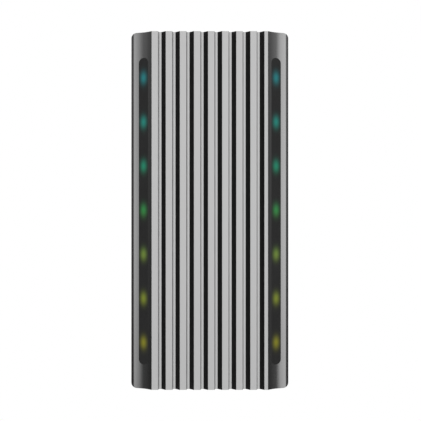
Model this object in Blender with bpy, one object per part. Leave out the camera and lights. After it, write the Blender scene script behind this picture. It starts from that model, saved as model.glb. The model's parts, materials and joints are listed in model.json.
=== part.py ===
"""A wall-hung battery unit, modelled in metres with +Z up.

The origin is the centre of the wall bracket's back face. The wall is the plane y = 0 and the unit's ribbed
front faces -Y. Two metal side shells wrap round a sealed chassis, and a black carrier with nine metal slats
closes the front. Each shell holds a smoked lens over a row of charge lights. The cable connections sit in a
bay that is open downwards.
"""

import math

import bmesh
import bpy
from mathutils import Matrix, Vector

# Overall size
HEIGHT = 1.150
WIDTH = 0.512
FRONT = -0.190  # plane of the slats' front faces
BODY_BACK = -0.022  # back of the chassis; the hanging rails fill the space between it and the wall
CORNER_RADIUS = 0.019  # of the four outer corners, seen from the front
GAP = 0.0003  # between pieces that touch
RUNNING = 0.00005  # radial clearance of a shaft in its hole
WALL = 0.003  # thickness of shells and panels
OVERCUT = 0.010  # how far a cutter reaches past what it cuts
SMOOTH_ANGLE = math.radians(38)  # facets that meet at less than this are shaded as one round face

HALF_WIDTH = WIDTH / 2
HALF_HEIGHT = HEIGHT / 2

# Front: nine slats at an even pitch between the two side shells
SLAT_COUNT = 9
SLAT_PITCH = 0.0452
SLAT_FACE = 0.0208  # width of a slat's raised face
SLAT_STEP_RUN = 0.0027  # sideways run of the steep step beside it
SLAT_STEP_DEPTH = 0.0124  # from the raised face back to the ledge
SLAT_SLOPE_RUN = 0.0138  # sideways run of the black slope up to the next slat
SLAT_SLOPE_SAG = 0.25  # how hollow that slope is, 0 for a flat one
SLAT_SHEET = 0.0022
RIB_HALF = 0.187  # half the width of the ribbed field, where the shells' front edges are
CARRIER_BACK = FRONT + 0.0187
CARRIER_SKIN = 0.003
CARRIER_END = 0.020  # solid length at the top and bottom of the carrier
SEAL_WIDTH = 0.009

# Side shells: a hollow sweep that opens out towards the side, then a small round into the side wall
SWEEP_SLOPES = (math.radians(46.0), math.radians(20.0), math.radians(13.0))
SWEEP_BREAK = 0.030  # distance from the shell's front edge where the sweep opens out
EDGE_RADIUS = 0.0135
SWEEP_STEPS = (8, 4)
EDGE_STEPS = 5
LEDGE_FRONT = -0.168  # the lip inside each shell that the carrier is screwed to
LEDGE_BACK = -0.165
LEDGE_REACH = 0.012
SHELL_LIP_END = 0.015  # the lip and the post stop this far short of the shell's ends
SHELL_POST = (0.010, 0.012)  # section of the post that the chassis is screwed to
CHASSIS_SHEET = 0.0025
PANEL_LIP = 0.012  # how far the top and bottom panels' lips reach inside
PANEL_LIP_CLEAR = 0.002  # from each lip's end to the shell's ledge

# Charge lights
SLOT_INNER = 0.0112  # from the shell's front edge to the slot's two long edges
SLOT_OUTER = 0.0426
SLOT_LENGTH = 0.990
SLOT_CENTRE_Z = -0.0024
LIGHT_COUNT = 7
LIGHT_PITCH = 0.1423
LIGHT_CENTRE_Z = 0.0029
LENS_RECESS = 0.0008
LENS_BACK = -0.0060
LENS_FLANGE = 0.0035  # how far the lens's back flange reaches past the slot
LENS_FLANGE_TOP = -0.0050  # clear of the shell, whose hollow sweep dips behind the slot's plane
LENS_FLANGE_BACK = -0.0066

# Battery modules
MODULE_COUNT = 4
MODULE_PITCH = 0.208
MODULE_BOTTOM = -0.262
MODULE_SIZE = (0.452, 0.120, 0.200)
MODULE_BACK = -0.028
MODULE_SHEET = 0.002
CELL_COUNT = 16
CELL_PITCH = 0.0274
CELL_GAP = 0.001
CELL_HEIGHT = 0.172
CELL_FRONT = 0.012  # from the case's open front back to the cells
CELL_BOND = 0.004
BUSBAR_Y = (-0.120, -0.050)
BUSBAR_RISE = 0.012
MODULE_EAR = (0.012, 0.020)  # how far the ears reach out, and stop short above and below
LID_RIBS = (0.060, 0.140)
LID_SHEET = 0.002

# Connection bay, open downwards
BAY_DEPTH = 0.060
BAY_HALF_WIDTH = 0.160
BAY_FRONT = -0.150
BAY_BACK = -0.045
BAY_WALL = 0.0025
BAY_CORNER = 0.003
CEILING = -HALF_HEIGHT + BAY_DEPTH  # the face that the connections come out of
CEILING_TOP = CEILING + WALL
SEAT = CEILING - GAP  # where a fitting's flange meets the ceiling

# Wall bracket
BRACKET_HALF_WIDTH = 0.190
BRACKET_HALF_HEIGHT = 0.330
BRACKET_SHEET = 0.003
CLEAT_HEIGHTS = (0.255, -0.285)  # bottom of each cleat
CLEAT_OUT = 0.015
CLEAT_LIP = 0.025
CLEAT_SHEET = 0.003
CLEAT_INSET = 0.010  # from the bracket's side to the cleat's end
BRACKET_CORNER = 0.012
RAIL_FLANGE = 0.018  # how far a rail's foot reaches above and below its shelf
RAIL_HOOK_CLEAR = 0.010  # from the cleat's bottom to the end of the rail's hook
RAIL_LIP_BACK = -0.0060
RAIL_INSET = 0.012
BUMPER_CENTRE = (0.215, -0.500)
BUMPER_RADIUS = 0.014

BRACKET_HOLE_RADIUS = 0.0045
BRACKET_HOLE_SIDE = 0.150  # of the holes' centres from the middle
BRACKET_HOLE_ROWS = (0.300, 0.100, -0.100, -0.315)

# Connections in the bay, as (x, y, radius of the hole each needs)
FITTINGS = {
    "isolator": (-0.112, -0.0975, 0.0080),
    "button": (-0.058, -0.0760, 0.0098),
    "vent": (-0.058, -0.1190, 0.0060),
    "socket_positive": (-0.016, -0.0760, 0.0090),
    "socket_negative": (-0.016, -0.1190, 0.0090),
    "gland_rear": (0.104, -0.0760, 0.0100),
    "gland_front": (0.104, -0.1190, 0.0100),
    "earth": (0.142, -0.0975, 0.0030),
}

ROUND_STEPS = 24


def clear_scene():
    """Removes what the startup scene holds."""
    for obj in list(bpy.data.objects):
        bpy.data.objects.remove(obj)


def material(name, colour, roughness, metallic=0.0):
    """A plain Principled material."""
    made = bpy.data.materials.new(name)
    made.use_nodes = True
    shader = made.node_tree.nodes["Principled BSDF"]
    shader.inputs["Base Color"].default_value = (*colour, 1.0)
    shader.inputs["Roughness"].default_value = roughness
    shader.inputs["Metallic"].default_value = metallic
    return made


def along_x(a, b, c):
    return (c, a, b)


def along_y(a, b, c):
    return (a, c, b)


def along_z(a, b, c):
    return (a, b, c)


def finish_mesh(name, mesh_builder, finish):
    """Turns a bmesh into an object with outward normals and one material."""
    bmesh.ops.recalc_face_normals(mesh_builder, faces=mesh_builder.faces)
    mesh = bpy.data.meshes.new(name)
    mesh_builder.to_mesh(mesh)
    mesh_builder.free()
    mesh.shade_smooth()
    mesh.set_sharp_from_angle(angle=SMOOTH_ANGLE)
    if finish is not None:
        mesh.materials.append(finish)
    obj = bpy.data.objects.new(name, mesh)
    bpy.context.scene.collection.objects.link(obj)
    return obj


def prism(name, outline, low, high, place=along_z, finish=None):
    """A closed outline swept straight from low to high; place says which way the two of them lie."""
    builder = bmesh.new()
    first = [builder.verts.new(place(a, b, low)) for a, b in outline]
    last = [builder.verts.new(place(a, b, high)) for a, b in outline]
    builder.faces.new(first)
    builder.faces.new(last)
    for i in range(len(outline)):
        j = (i + 1) % len(outline)
        builder.faces.new((first[i], first[j], last[j], last[i]))
    return finish_mesh(name, builder, finish)


def block(name, x_span, y_span, z_span, finish=None):
    """A box between pairs of coordinates."""
    (x0, x1), (y0, y1) = x_span, y_span
    return prism(name, [(x0, y0), (x1, y0), (x1, y1), (x0, y1)], *z_span, along_z, finish)


def lathe(name, profile, centre, finish=None, steps=ROUND_STEPS, closed=False):
    """A profile of (radius, z) turned about a vertical axis. An open profile is capped at its ends."""
    builder = bmesh.new()
    rings = []
    for radius, z in profile:
        ring = []
        for i in range(steps):
            angle = 2 * math.pi * i / steps
            x = centre[0] + radius * math.cos(angle)
            y = centre[1] + radius * math.sin(angle)
            ring.append(builder.verts.new((x, y, z)))
        rings.append(ring)
    if closed:
        rings.append(rings[0])
    else:
        builder.faces.new(rings[0])
        builder.faces.new(rings[-1])
    for lower, upper in zip(rings, rings[1:]):
        for i in range(steps):
            j = (i + 1) % steps
            builder.faces.new((lower[i], lower[j], upper[j], upper[i]))
    return finish_mesh(name, builder, finish)


def circle(radius, centre=(0.0, 0.0), steps=ROUND_STEPS):
    """Points round a circle."""
    angles = [2 * math.pi * i / steps for i in range(steps)]
    return [(centre[0] + radius * math.cos(a), centre[1] + radius * math.sin(a)) for a in angles]


def bore(shaft_radius, centre=(0.0, 0.0), steps=ROUND_STEPS):
    """A many-sided hole whose flat sides clear a shaft that turns in it."""
    return circle((shaft_radius + RUNNING) / math.cos(math.pi / steps), centre, steps)


def rounded_rectangle(width, height, radius, steps=6, centre=(0.0, 0.0)):
    """Outline of a rectangle with round corners."""
    points = []
    for corner in range(4):
        start = corner * math.pi / 2
        side_x = 1 if corner in (0, 3) else -1
        side_y = 1 if corner in (0, 1) else -1
        middle = (centre[0] + side_x * (width / 2 - radius), centre[1] + side_y * (height / 2 - radius))
        for i in range(steps + 1):
            angle = start + math.pi / 2 * i / steps
            points.append((middle[0] + radius * math.cos(angle), middle[1] + radius * math.sin(angle)))
    return points


def stadium(width, length, steps=10):
    """Outline of a long slot with half-round ends, long way along its second coordinate."""
    radius = width / 2
    straight = length / 2 - radius
    points = []
    for end in (1, -1):
        for i in range(steps + 1):
            angle = math.pi * i / steps
            points.append((end * radius * math.cos(angle), end * (straight + radius * math.sin(angle))))
    return points


def combine(obj, helper, operation):
    """Adds a Boolean modifier that joins, cuts or keeps obj with a helper, which isn't a part itself."""
    helper.hide_render = True
    helper.display_type = "WIRE"
    modifier = obj.modifiers.new(helper.name, "BOOLEAN")
    modifier.operation = operation
    modifier.object = helper
    return obj


def cut(obj, helper):
    return combine(obj, helper, "DIFFERENCE")


def join(obj, helper):
    return combine(obj, helper, "UNION")


def put_origin_at(obj, point):
    """Moves a piece's origin onto its joint's axis and leaves the piece where it is."""
    obj.data.transform(Matrix.Translation(-Vector(point)))
    obj.location = point
    return obj


# --- Side shells ----------------------------------------------------------------------------------


SWEEP_END = HALF_WIDTH - EDGE_RADIUS * (1 - math.sin(SWEEP_SLOPES[-1])) - RIB_HALF


def flank_at(run):
    """Depth behind the front plane and slope of a shell's surface, a distance run out from its front edge."""
    depth = 0.0
    ends = (0.0, SWEEP_BREAK, SWEEP_END)
    for i in range(2):
        steep, flat = SWEEP_SLOPES[i], SWEEP_SLOPES[i + 1]
        radius = (ends[i + 1] - ends[i]) / (math.sin(steep) - math.sin(flat))
        slope = flat
        if run < ends[i + 1]:
            slope = math.asin(math.sin(steep) - (run - ends[i]) / radius)
        depth += radius * (math.cos(slope) - math.cos(steep))
        if run < ends[i + 1]:
            break
    return depth, slope


def flank_contour(inset):
    """(distance from the middle, y) along a shell's outer surface, set back into the wall by inset."""
    runs = [SWEEP_BREAK * i / SWEEP_STEPS[0] for i in range(SWEEP_STEPS[0])]
    runs += [SWEEP_BREAK + (SWEEP_END - SWEEP_BREAK) * i / SWEEP_STEPS[1] for i in range(SWEEP_STEPS[1] + 1)]
    points = []
    for run in runs:
        depth, slope = flank_at(run)
        points.append((RIB_HALF + run - inset * math.sin(slope), FRONT + depth + inset * math.cos(slope)))
    turn = math.pi / 2 - slope
    centre = (HALF_WIDTH - EDGE_RADIUS, FRONT + depth + EDGE_RADIUS * math.cos(slope))
    for i in range(1, EDGE_STEPS + 1):
        angle = turn * (1 - i / EDGE_STEPS)
        radius = EDGE_RADIUS - inset
        points.append((centre[0] + radius * math.cos(angle), centre[1] - radius * math.sin(angle)))
    return points


def slot_frame():
    """Middle and slope of the straight line across the lens slot, as (distance from the middle, y, angle)."""
    inner, outer = flank_at(SLOT_INNER)[0], flank_at(SLOT_OUTER)[0]
    across = (SLOT_INNER + SLOT_OUTER) / 2
    return RIB_HALF + across, FRONT + (inner + outer) / 2, math.atan2(outer - inner, SLOT_OUTER - SLOT_INNER)


SLOT_U, SLOT_Y, SLOT_ANGLE = slot_frame()
SLOT_WIDTH = (SLOT_OUTER - SLOT_INNER) / math.cos(SLOT_ANGLE)


def slot_place(side):
    """Places (across, along z, out of the surface) points in the tilted plane of one side's lens slot."""

    def place(across, z, out):
        u = SLOT_U + across * math.cos(SLOT_ANGLE) + out * math.sin(SLOT_ANGLE)
        y = SLOT_Y + across * math.sin(SLOT_ANGLE) - out * math.cos(SLOT_ANGLE)
        return (side * u, y, z + SLOT_CENTRE_Z)

    return place


def section_place(side):
    """Places (across, out of the surface, along z) points in that plane, for sections swept along z."""
    place = slot_place(side)
    return lambda across, out, z: place(across, z, out)


def mirrored(side):
    """Places (distance from the middle, y, z) points on one side."""
    return lambda u, y, z: (side * u, y, z)


def side_shell(side, name, finish):
    """One side of the casing: side wall, flank with the lens slot, and the round corners above and below."""
    place = mirrored(side)
    outer = flank_contour(0) + [(HALF_WIDTH, BODY_BACK), (RIB_HALF, BODY_BACK)]
    shell = prism(name, outer, -HALF_HEIGHT, HALF_HEIGHT, place, finish)
    corners = rounded_rectangle(WIDTH, HEIGHT, CORNER_RADIUS)
    combine(shell, prism(name + "_corners", corners, FRONT - OVERCUT, OVERCUT, along_y), "INTERSECT")

    open_to, behind = RIB_HALF - 2 * OVERCUT, BODY_BACK + OVERCUT
    front_skin = 0.001  # taken off the start of the inner wall, where the shell's front edge is thinnest
    inside = [point for point in flank_contour(WALL) if point[0] > RIB_HALF + WALL]
    inside = [(RIB_HALF + WALL, inside[0][1] - front_skin)] + inside
    inside += [(HALF_WIDTH - WALL, behind), (open_to, behind)]
    inside += [(open_to, LEDGE_BACK), (RIB_HALF + WALL, LEDGE_BACK)]
    hollow = prism(name + "_hollow", inside, -HALF_HEIGHT + WALL, HALF_HEIGHT - WALL, place)
    inner_corners = rounded_rectangle(WIDTH - 2 * WALL, HEIGHT - 2 * WALL, CORNER_RADIUS - WALL)
    room = prism(name + "_room", inner_corners, FRONT - OVERCUT, OVERCUT, along_y)
    combine(hollow, room, "INTERSECT")
    cut(shell, hollow)

    ledge_z = HALF_HEIGHT - SHELL_LIP_END
    ledge = [
        (RIB_HALF - LEDGE_REACH, LEDGE_FRONT),
        (RIB_HALF + WALL / 2, LEDGE_FRONT),
        (RIB_HALF + WALL / 2, LEDGE_BACK),
        (RIB_HALF - LEDGE_REACH, LEDGE_BACK),
    ]
    join(shell, prism(name + "_ledge", ledge, -ledge_z, ledge_z, place))
    post_inner, post_outer = HALF_WIDTH - WALL - SHELL_POST[0], HALF_WIDTH - WALL / 2
    post_back = BODY_BACK - CHASSIS_SHEET - 0.0005
    post_front = post_back - SHELL_POST[1]
    post_x = sorted((side * post_inner, side * post_outer))
    join(shell, block(name + "_post", post_x, (post_front, post_back), (-ledge_z, ledge_z)))
    slot = stadium(SLOT_WIDTH, SLOT_LENGTH)
    cut(shell, prism(name + "_slot", slot, -OVERCUT, OVERCUT, slot_place(side)))
    return shell


# --- Lights ---------------------------------------------------------------------------------------


def lens(side, name, finish):
    """The smoked strip in the slot, with a wider flange behind the shell's wall."""
    face = stadium(SLOT_WIDTH - 2 * GAP, SLOT_LENGTH - 2 * GAP)
    strip = prism(name, face, LENS_BACK, -LENS_RECESS, slot_place(side), finish)
    flange = stadium(SLOT_WIDTH + 2 * LENS_FLANGE, SLOT_LENGTH + 2 * LENS_FLANGE)
    return join(strip, prism(name + "_flange", flange, LENS_FLANGE_BACK, LENS_FLANGE_TOP, slot_place(side)))


CHANNEL_HALF = 0.0165
CHANNEL_TOP = LENS_FLANGE_BACK - GAP
CHANNEL_FLOOR = -0.0160
CHANNEL_SKIN = 0.0012
CHANNEL_SHORT = 0.004  # how much shorter than the slot it is at each end


def light_channel(side, name, finish):
    """White trough behind the lens that keeps the lights' glow in."""
    half, skin, top, floor = CHANNEL_HALF, CHANNEL_SKIN, CHANNEL_TOP, CHANNEL_FLOOR
    section = [
        (-half, top),
        (-half, floor),
        (half, floor),
        (half, top),
        (half - skin, top),
        (half - skin, floor + skin),
        (skin - half, floor + skin),
        (skin - half, top),
    ]
    reach = SLOT_LENGTH / 2 - CHANNEL_SHORT
    return prism(name, section, -reach, reach, section_place(side), finish)


def light_board(side, name, finish):
    """Circuit strip on the trough's floor, with one light package at each step of the charge scale."""
    bottom = CHANNEL_FLOOR + CHANNEL_SKIN + GAP
    board_half, board_thickness = 0.0120, 0.0016
    chip_half, chip_top = 0.0028, bottom + 0.0032
    section = [
        (-board_half, bottom),
        (board_half, bottom),
        (board_half, bottom + board_thickness),
        (-board_half, bottom + board_thickness),
    ]
    reach = SLOT_LENGTH / 2 - 2 * CHANNEL_SHORT
    board = prism(name, section, -reach, reach, section_place(side), finish)
    chip_root = bottom + board_thickness / 2
    for i in range(LIGHT_COUNT):
        z = LIGHT_CENTRE_Z - SLOT_CENTRE_Z + (i - (LIGHT_COUNT - 1) / 2) * LIGHT_PITCH
        low, high = z - chip_half, z + chip_half
        square = [(-chip_half, low), (chip_half, low), (chip_half, high), (-chip_half, high)]
        join(board, prism(f"{name}_light_{i + 1}", square, chip_root, chip_top, slot_place(side)))
    return board


# --- Ribbed front ---------------------------------------------------------------------------------

FIELD_HALF = RIB_HALF - GAP
LEDGE_Y = FRONT + SLAT_STEP_DEPTH
LEDGE_WIDTH = SLAT_PITCH - SLAT_FACE - SLAT_STEP_RUN - SLAT_SLOPE_RUN
STEP_SHEET = SLAT_SHEET * 1.03  # the sheet measured sideways through the steep step


def slat_left(index):
    """x of a slat's left edge, counting from 0."""
    return -FIELD_HALF + index * SLAT_PITCH


def step_x(y):
    """How far right of a slat's left edge the step's outer surface is at y."""
    return SLAT_FACE + SLAT_STEP_RUN * (y - FRONT) / SLAT_STEP_DEPTH


def slat(index, finish):
    """A folded metal strip: raised face, steep step, ledge. The last is a plain strip beside the shell."""
    left = slat_left(index)
    back = FRONT + SLAT_SHEET
    if index == SLAT_COUNT - 1:
        outline = [(left, FRONT), (FIELD_HALF, FRONT), (FIELD_HALF, back), (left, back)]
    else:
        ledge_end = left + SLAT_PITCH - SLAT_SLOPE_RUN - GAP
        ledge_back = LEDGE_Y + SLAT_SHEET
        outline = [
            (left, FRONT),
            (left + SLAT_FACE, FRONT),
            (left + step_x(LEDGE_Y), LEDGE_Y),
            (ledge_end, LEDGE_Y),
            (ledge_end, ledge_back),
            (left + step_x(ledge_back) - STEP_SHEET, ledge_back),
            (left + step_x(back) - STEP_SHEET, back),
            (left, back),
        ]
    return prism(f"slat_{index + 1}", outline, -HALF_HEIGHT, HALF_HEIGHT, along_z, finish)


def front_carrier(finish):
    """Black panel behind the slats. Its hollow slopes show between them; channels lighten it behind."""
    under_face = FRONT + SLAT_SHEET + GAP
    under_ledge = LEDGE_Y + SLAT_SHEET + GAP
    slope_points = 4
    tip = 0.0007
    outline = [(-FIELD_HALF, under_face)]
    for index in range(SLAT_COUNT - 1):
        left = slat_left(index)
        outline.append((left + step_x(under_face) - STEP_SHEET - GAP, under_face))
        outline.append((left + step_x(under_ledge) - STEP_SHEET - GAP, under_ledge))
        start = left + SLAT_PITCH - SLAT_SLOPE_RUN
        outline.append((start, under_ledge))
        run = SLAT_SLOPE_RUN - GAP - tip
        for i in range(slope_points):
            t = i / (slope_points - 1)
            rise = t + SLAT_SLOPE_SAG * (t * t - t)
            outline.append((start + run * t, LEDGE_Y - SLAT_STEP_DEPTH * rise))
        next_left = slat_left(index + 1) - GAP
        outline.append((next_left, FRONT))
        outline.append((next_left, under_face))
    outline += [(FIELD_HALF, under_face), (FIELD_HALF, CARRIER_BACK), (-FIELD_HALF, CARRIER_BACK)]
    carrier = prism("front_carrier", outline, -HALF_HEIGHT, HALF_HEIGHT, along_z, finish)
    channel_z = HALF_HEIGHT - CARRIER_END
    for index in range(SLAT_COUNT):
        left = slat_left(index)
        right = min(left + SLAT_FACE, FIELD_HALF) - 2 * CARRIER_SKIN
        channel = block(
            f"carrier_channel_{index + 1}",
            (left + CARRIER_SKIN, right),
            (under_face + CARRIER_SKIN, CARRIER_BACK + OVERCUT),
            (-channel_z, channel_z),
        )
        cut(carrier, channel)
    return carrier


def front_seal(finish):
    """Rubber frame squeezed between the carrier and the ledge behind it."""
    back, front = LEDGE_FRONT - GAP, CARRIER_BACK + GAP
    width, height = 2 * RIB_HALF - 0.004, HEIGHT - 0.008
    outer_corner, inner_corner, corner_steps = 0.006, 0.003, 3
    outline = rounded_rectangle(width, height, outer_corner, corner_steps)
    seal = prism("front_seal", outline, front, back, along_y, finish)
    inner = rounded_rectangle(width - 2 * SEAL_WIDTH, height - 2 * SEAL_WIDTH, inner_corner, corner_steps)
    return cut(seal, prism("front_seal_inside", inner, front - OVERCUT, back + OVERCUT, along_y))


# --- Chassis, panels and bracket ------------------------------------------------------------------


def top_panel(finish):
    """Flat lid between the shells, with a lip in front for the carrier and one behind for the chassis."""
    half = RIB_HALF - GAP
    inner = HALF_HEIGHT - WALL
    panel = block("top_panel", (-half, half), (CARRIER_BACK + GAP, BODY_BACK), (inner, HALF_HEIGHT), finish)
    lip_half = RIB_HALF - LEDGE_REACH - PANEL_LIP_CLEAR
    lip_z = (inner - PANEL_LIP, inner + WALL / 2)
    rear = BODY_BACK - WALL
    join(panel, block("top_panel_front_lip", (-lip_half, lip_half), (LEDGE_FRONT, LEDGE_BACK), lip_z))
    join(panel, block("top_panel_rear_lip", (-lip_half, lip_half), (rear - WALL, rear), lip_z))
    return panel


def connection_bay(finish):
    """The casing's underside with the deep tray that the connections come out of."""
    half = RIB_HALF - GAP
    inner = -HALF_HEIGHT + WALL
    floor_y = (CARRIER_BACK + GAP, BODY_BACK)
    bay = block("connection_bay", (-half, half), floor_y, (-HALF_HEIGHT, inner), finish)
    lip_half = RIB_HALF - LEDGE_REACH - PANEL_LIP_CLEAR
    lip_z = (inner - WALL / 2, inner + PANEL_LIP)
    join(bay, block("bay_front_lip", (-lip_half, lip_half), (LEDGE_FRONT, LEDGE_BACK), lip_z))
    outer_x = BAY_HALF_WIDTH + BAY_WALL
    tray = block(
        "bay_tray",
        (-outer_x, outer_x),
        (BAY_FRONT - BAY_WALL, BAY_BACK + BAY_WALL),
        (-HALF_HEIGHT + WALL / 2, CEILING_TOP),
    )
    join(bay, tray)
    middle = (0.0, (BAY_FRONT + BAY_BACK) / 2)
    pocket = rounded_rectangle(2 * BAY_HALF_WIDTH, BAY_BACK - BAY_FRONT, BAY_CORNER, 3, middle)
    cut(bay, prism("bay_pocket", pocket, -HALF_HEIGHT - OVERCUT, CEILING))
    for name, (x, y, radius) in FITTINGS.items():
        hole = circle(radius, (x, y), 16)
        cut(bay, prism(f"bay_hole_{name}", hole, CEILING - OVERCUT, CEILING_TOP + OVERCUT))
    return bay


def rear_chassis(finish):
    """Back plate that everything inside is fixed to."""
    inset = 2 * (WALL + GAP)
    outline = rounded_rectangle(WIDTH - inset, HEIGHT - inset, CORNER_RADIUS - WALL - GAP)
    return prism("rear_chassis", outline, BODY_BACK - CHASSIS_SHEET, BODY_BACK, along_y, finish)


def hanger_rail(bottom, name, finish):
    """Hook on the chassis, seen from the side an upside-down L that drops behind the bracket's cleat."""
    back = BODY_BACK + GAP
    foot = back + CLEAT_SHEET
    shelf = bottom + CLEAT_LIP + CLEAT_SHEET + GAP
    hook_end = bottom + RAIL_HOOK_CLEAR
    lip_front = RAIL_LIP_BACK - CLEAT_SHEET
    outline = [
        (back, shelf - RAIL_FLANGE),
        (foot, shelf - RAIL_FLANGE),
        (foot, shelf),
        (lip_front, shelf),
        (lip_front, hook_end),
        (RAIL_LIP_BACK, hook_end),
        (RAIL_LIP_BACK, shelf + CLEAT_SHEET),
        (foot, shelf + CLEAT_SHEET),
        (foot, shelf + RAIL_FLANGE),
        (back, shelf + RAIL_FLANGE),
    ]
    half = BRACKET_HALF_WIDTH - RAIL_INSET
    return prism(name, outline, -half, half, along_x, finish)


def wall_bracket(finish):
    """Steel plate with two hooked cleats and eight screw holes."""
    front = -BRACKET_SHEET
    outline = rounded_rectangle(2 * BRACKET_HALF_WIDTH, 2 * BRACKET_HALF_HEIGHT, BRACKET_CORNER, 4)
    plate = prism("wall_bracket", outline, front, 0.0, along_y, finish)
    half = BRACKET_HALF_WIDTH - CLEAT_INSET
    for number, bottom in enumerate(CLEAT_HEIGHTS):
        lip_front = -CLEAT_OUT - CLEAT_SHEET
        shelf = bottom + CLEAT_SHEET
        outline = [
            (front / 2, bottom),
            (front / 2, shelf),
            (-CLEAT_OUT, shelf),
            (-CLEAT_OUT, shelf + CLEAT_LIP),
            (lip_front, shelf + CLEAT_LIP),
            (lip_front, bottom),
        ]
        join(plate, prism(f"bracket_cleat_{number + 1}", outline, -half, half, along_x))
    for row, z in enumerate(BRACKET_HOLE_ROWS):
        for side in (-1, 1):
            hole = circle(BRACKET_HOLE_RADIUS, (side * BRACKET_HOLE_SIDE, z), 12)
            cut(plate, prism(f"bracket_hole_{row}_{side}", hole, front - OVERCUT, OVERCUT, along_y))
    return plate


def wall_bumper(side, name, finish):
    """Rubber foot between the chassis and the wall, low on the back."""
    centre = (side * BUMPER_CENTRE[0], BUMPER_CENTRE[1])
    return prism(name, circle(BUMPER_RADIUS, centre, 20), BODY_BACK + GAP, 0.0, along_y, finish)


# --- Battery modules ------------------------------------------------------------------------------


def module_bottom(index):
    return MODULE_BOTTOM + index * MODULE_PITCH


def module_case(index, finish):
    """Metal tray for one row of cells, open towards the front, with an ear on each side."""
    width, depth, height = MODULE_SIZE
    low = module_bottom(index)
    front = MODULE_BACK - depth
    case = block(
        f"module_case_{index + 1}", (-width / 2, width / 2), (front, MODULE_BACK), (low, low + height), finish
    )
    sheet = MODULE_SHEET
    ear_out, ear_short = MODULE_EAR
    ears = block(
        f"module_ears_{index + 1}",
        (-width / 2 - ear_out, width / 2 + ear_out),
        (MODULE_BACK - sheet, MODULE_BACK),
        (low + ear_short, low + height - ear_short),
    )
    join(case, ears)
    room = block(
        f"module_room_{index + 1}",
        (sheet - width / 2, width / 2 - sheet),
        (front - OVERCUT, MODULE_BACK - sheet),
        (low + sheet, low + height - sheet),
    )
    return cut(case, room)


def cell_block(index, finish):
    """Sixteen flat cells bonded along their backs, with the busbar strip across their terminals."""
    low = module_bottom(index) + MODULE_SHEET + 0.001
    high = low + CELL_HEIGHT
    front = MODULE_BACK - MODULE_SIZE[1] + CELL_FRONT
    back = MODULE_BACK - MODULE_SHEET - GAP
    bond = back - CELL_BOND
    left = -CELL_COUNT * CELL_PITCH / 2
    right = left + CELL_COUNT * CELL_PITCH - CELL_GAP
    outline = []
    for i in range(CELL_COUNT):
        start = left + i * CELL_PITCH
        outline += [(start, front), (start + CELL_PITCH - CELL_GAP, front)]
        if i < CELL_COUNT - 1:
            outline += [(start + CELL_PITCH - CELL_GAP, bond), (start + CELL_PITCH, bond)]
    outline += [(right, back), (left, back)]
    cells = prism(f"cell_block_{index + 1}", outline, low, high, along_z, finish)
    root, top, end = high - 0.002, high + BUSBAR_RISE, 0.004
    strip = block(f"busbar_strip_{index + 1}", (left + end, right - end), BUSBAR_Y, (root, top))
    return join(cells, strip)


def module_lid(index, finish):
    """Front cover of a module, with two stiffening ribs."""
    width, depth, height = MODULE_SIZE
    low = module_bottom(index)
    back = MODULE_BACK - depth - GAP
    front = back - LID_SHEET
    span = (-width / 2, width / 2)
    lid = block(f"module_lid_{index + 1}", span, (front, back), (low, low + height), finish)
    rib_half, rib_rise, rib_end = 0.006, 0.003, 0.020
    rib_span = (span[0] + rib_end, span[1] - rib_end)
    rib_y = (front - rib_rise, back - LID_SHEET / 2)
    for number, up in enumerate(LID_RIBS):
        z_span = (low + up - rib_half, low + up + rib_half)
        join(lid, block(f"lid_rib_{index + 1}_{number + 1}", rib_span, rib_y, z_span))
    return lid


# --- Electronics ----------------------------------------------------------------------------------


PLATE_BACK = BODY_BACK - CHASSIS_SHEET - GAP
PLATE_FRONT = PLATE_BACK - 0.004
PLATE_X = (-0.220, 0.220)
PLATE_Z = (-0.480, -0.282)
BOARD_FACE = -0.0500
BOARD_SHEET = 0.0016
BOARD_X = (-0.200, 0.010)
BOARD_Z = (-0.462, -0.300)
BOARD_PARTS = (  # name, x span, z span, height above the board
    ("processor", (-0.130, -0.110), (-0.400, -0.380), 0.0025),
    ("inductor", (-0.060, -0.035), (-0.345, -0.320), 0.014),
    ("capacitor_bank", (-0.185, -0.150), (-0.340, -0.315), 0.018),
    ("sensing_sockets", (-0.150, -0.020), (-0.452, -0.442), 0.010),
    ("relay", (-0.075, -0.045), (-0.410, -0.388), 0.015),
)
CONTACTOR_X = (0.035, 0.095)
CONTACTOR_Z = (-0.440, -0.370)
CONTACTOR_FRONT = -0.100
STUD_X = (0.050, 0.080)
STUD_RADIUS = 0.006
STUD_RISE = 0.012
FUSE_X = (0.140, 0.190)
FUSE_Y, FUSE_Z = -0.066, -0.405
FUSE_RADIUS = 0.016
BLADE_X = (0.119, 0.211)
BLADE_HALF = (0.0020, 0.0095)  # half its thickness and half its width
CLIP_X = (0.128, 0.202)
CLIP_HALF = (0.007, 0.012)


def electronics_plate(finish):
    """Insulating plate behind the electronics, with the two clips that hold the fuse."""
    plate = block("electronics_plate", PLATE_X, (PLATE_FRONT, PLATE_BACK), PLATE_Z, finish)
    thin, wide = BLADE_HALF
    across, tall = CLIP_HALF
    clip_y = (FUSE_Y - thin + GAP, PLATE_FRONT + BLADE_HALF[0])
    slot_y = (FUSE_Y - OVERCUT, FUSE_Y + thin + GAP)
    slot_half = wide + 2 * GAP
    for number, x in enumerate(CLIP_X):
        clip_x, clip_z = (x - across, x + across), (FUSE_Z - tall, FUSE_Z + tall)
        clip = block(f"fuse_clip_{number + 1}", clip_x, clip_y, clip_z)
        slot_x = (x - OVERCUT, x + OVERCUT)
        slot = block(f"fuse_clip_slot_{number + 1}", slot_x, slot_y, (FUSE_Z - slot_half, FUSE_Z + slot_half))
        join(plate, clip)
        cut(plate, slot)
    return plate


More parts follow.
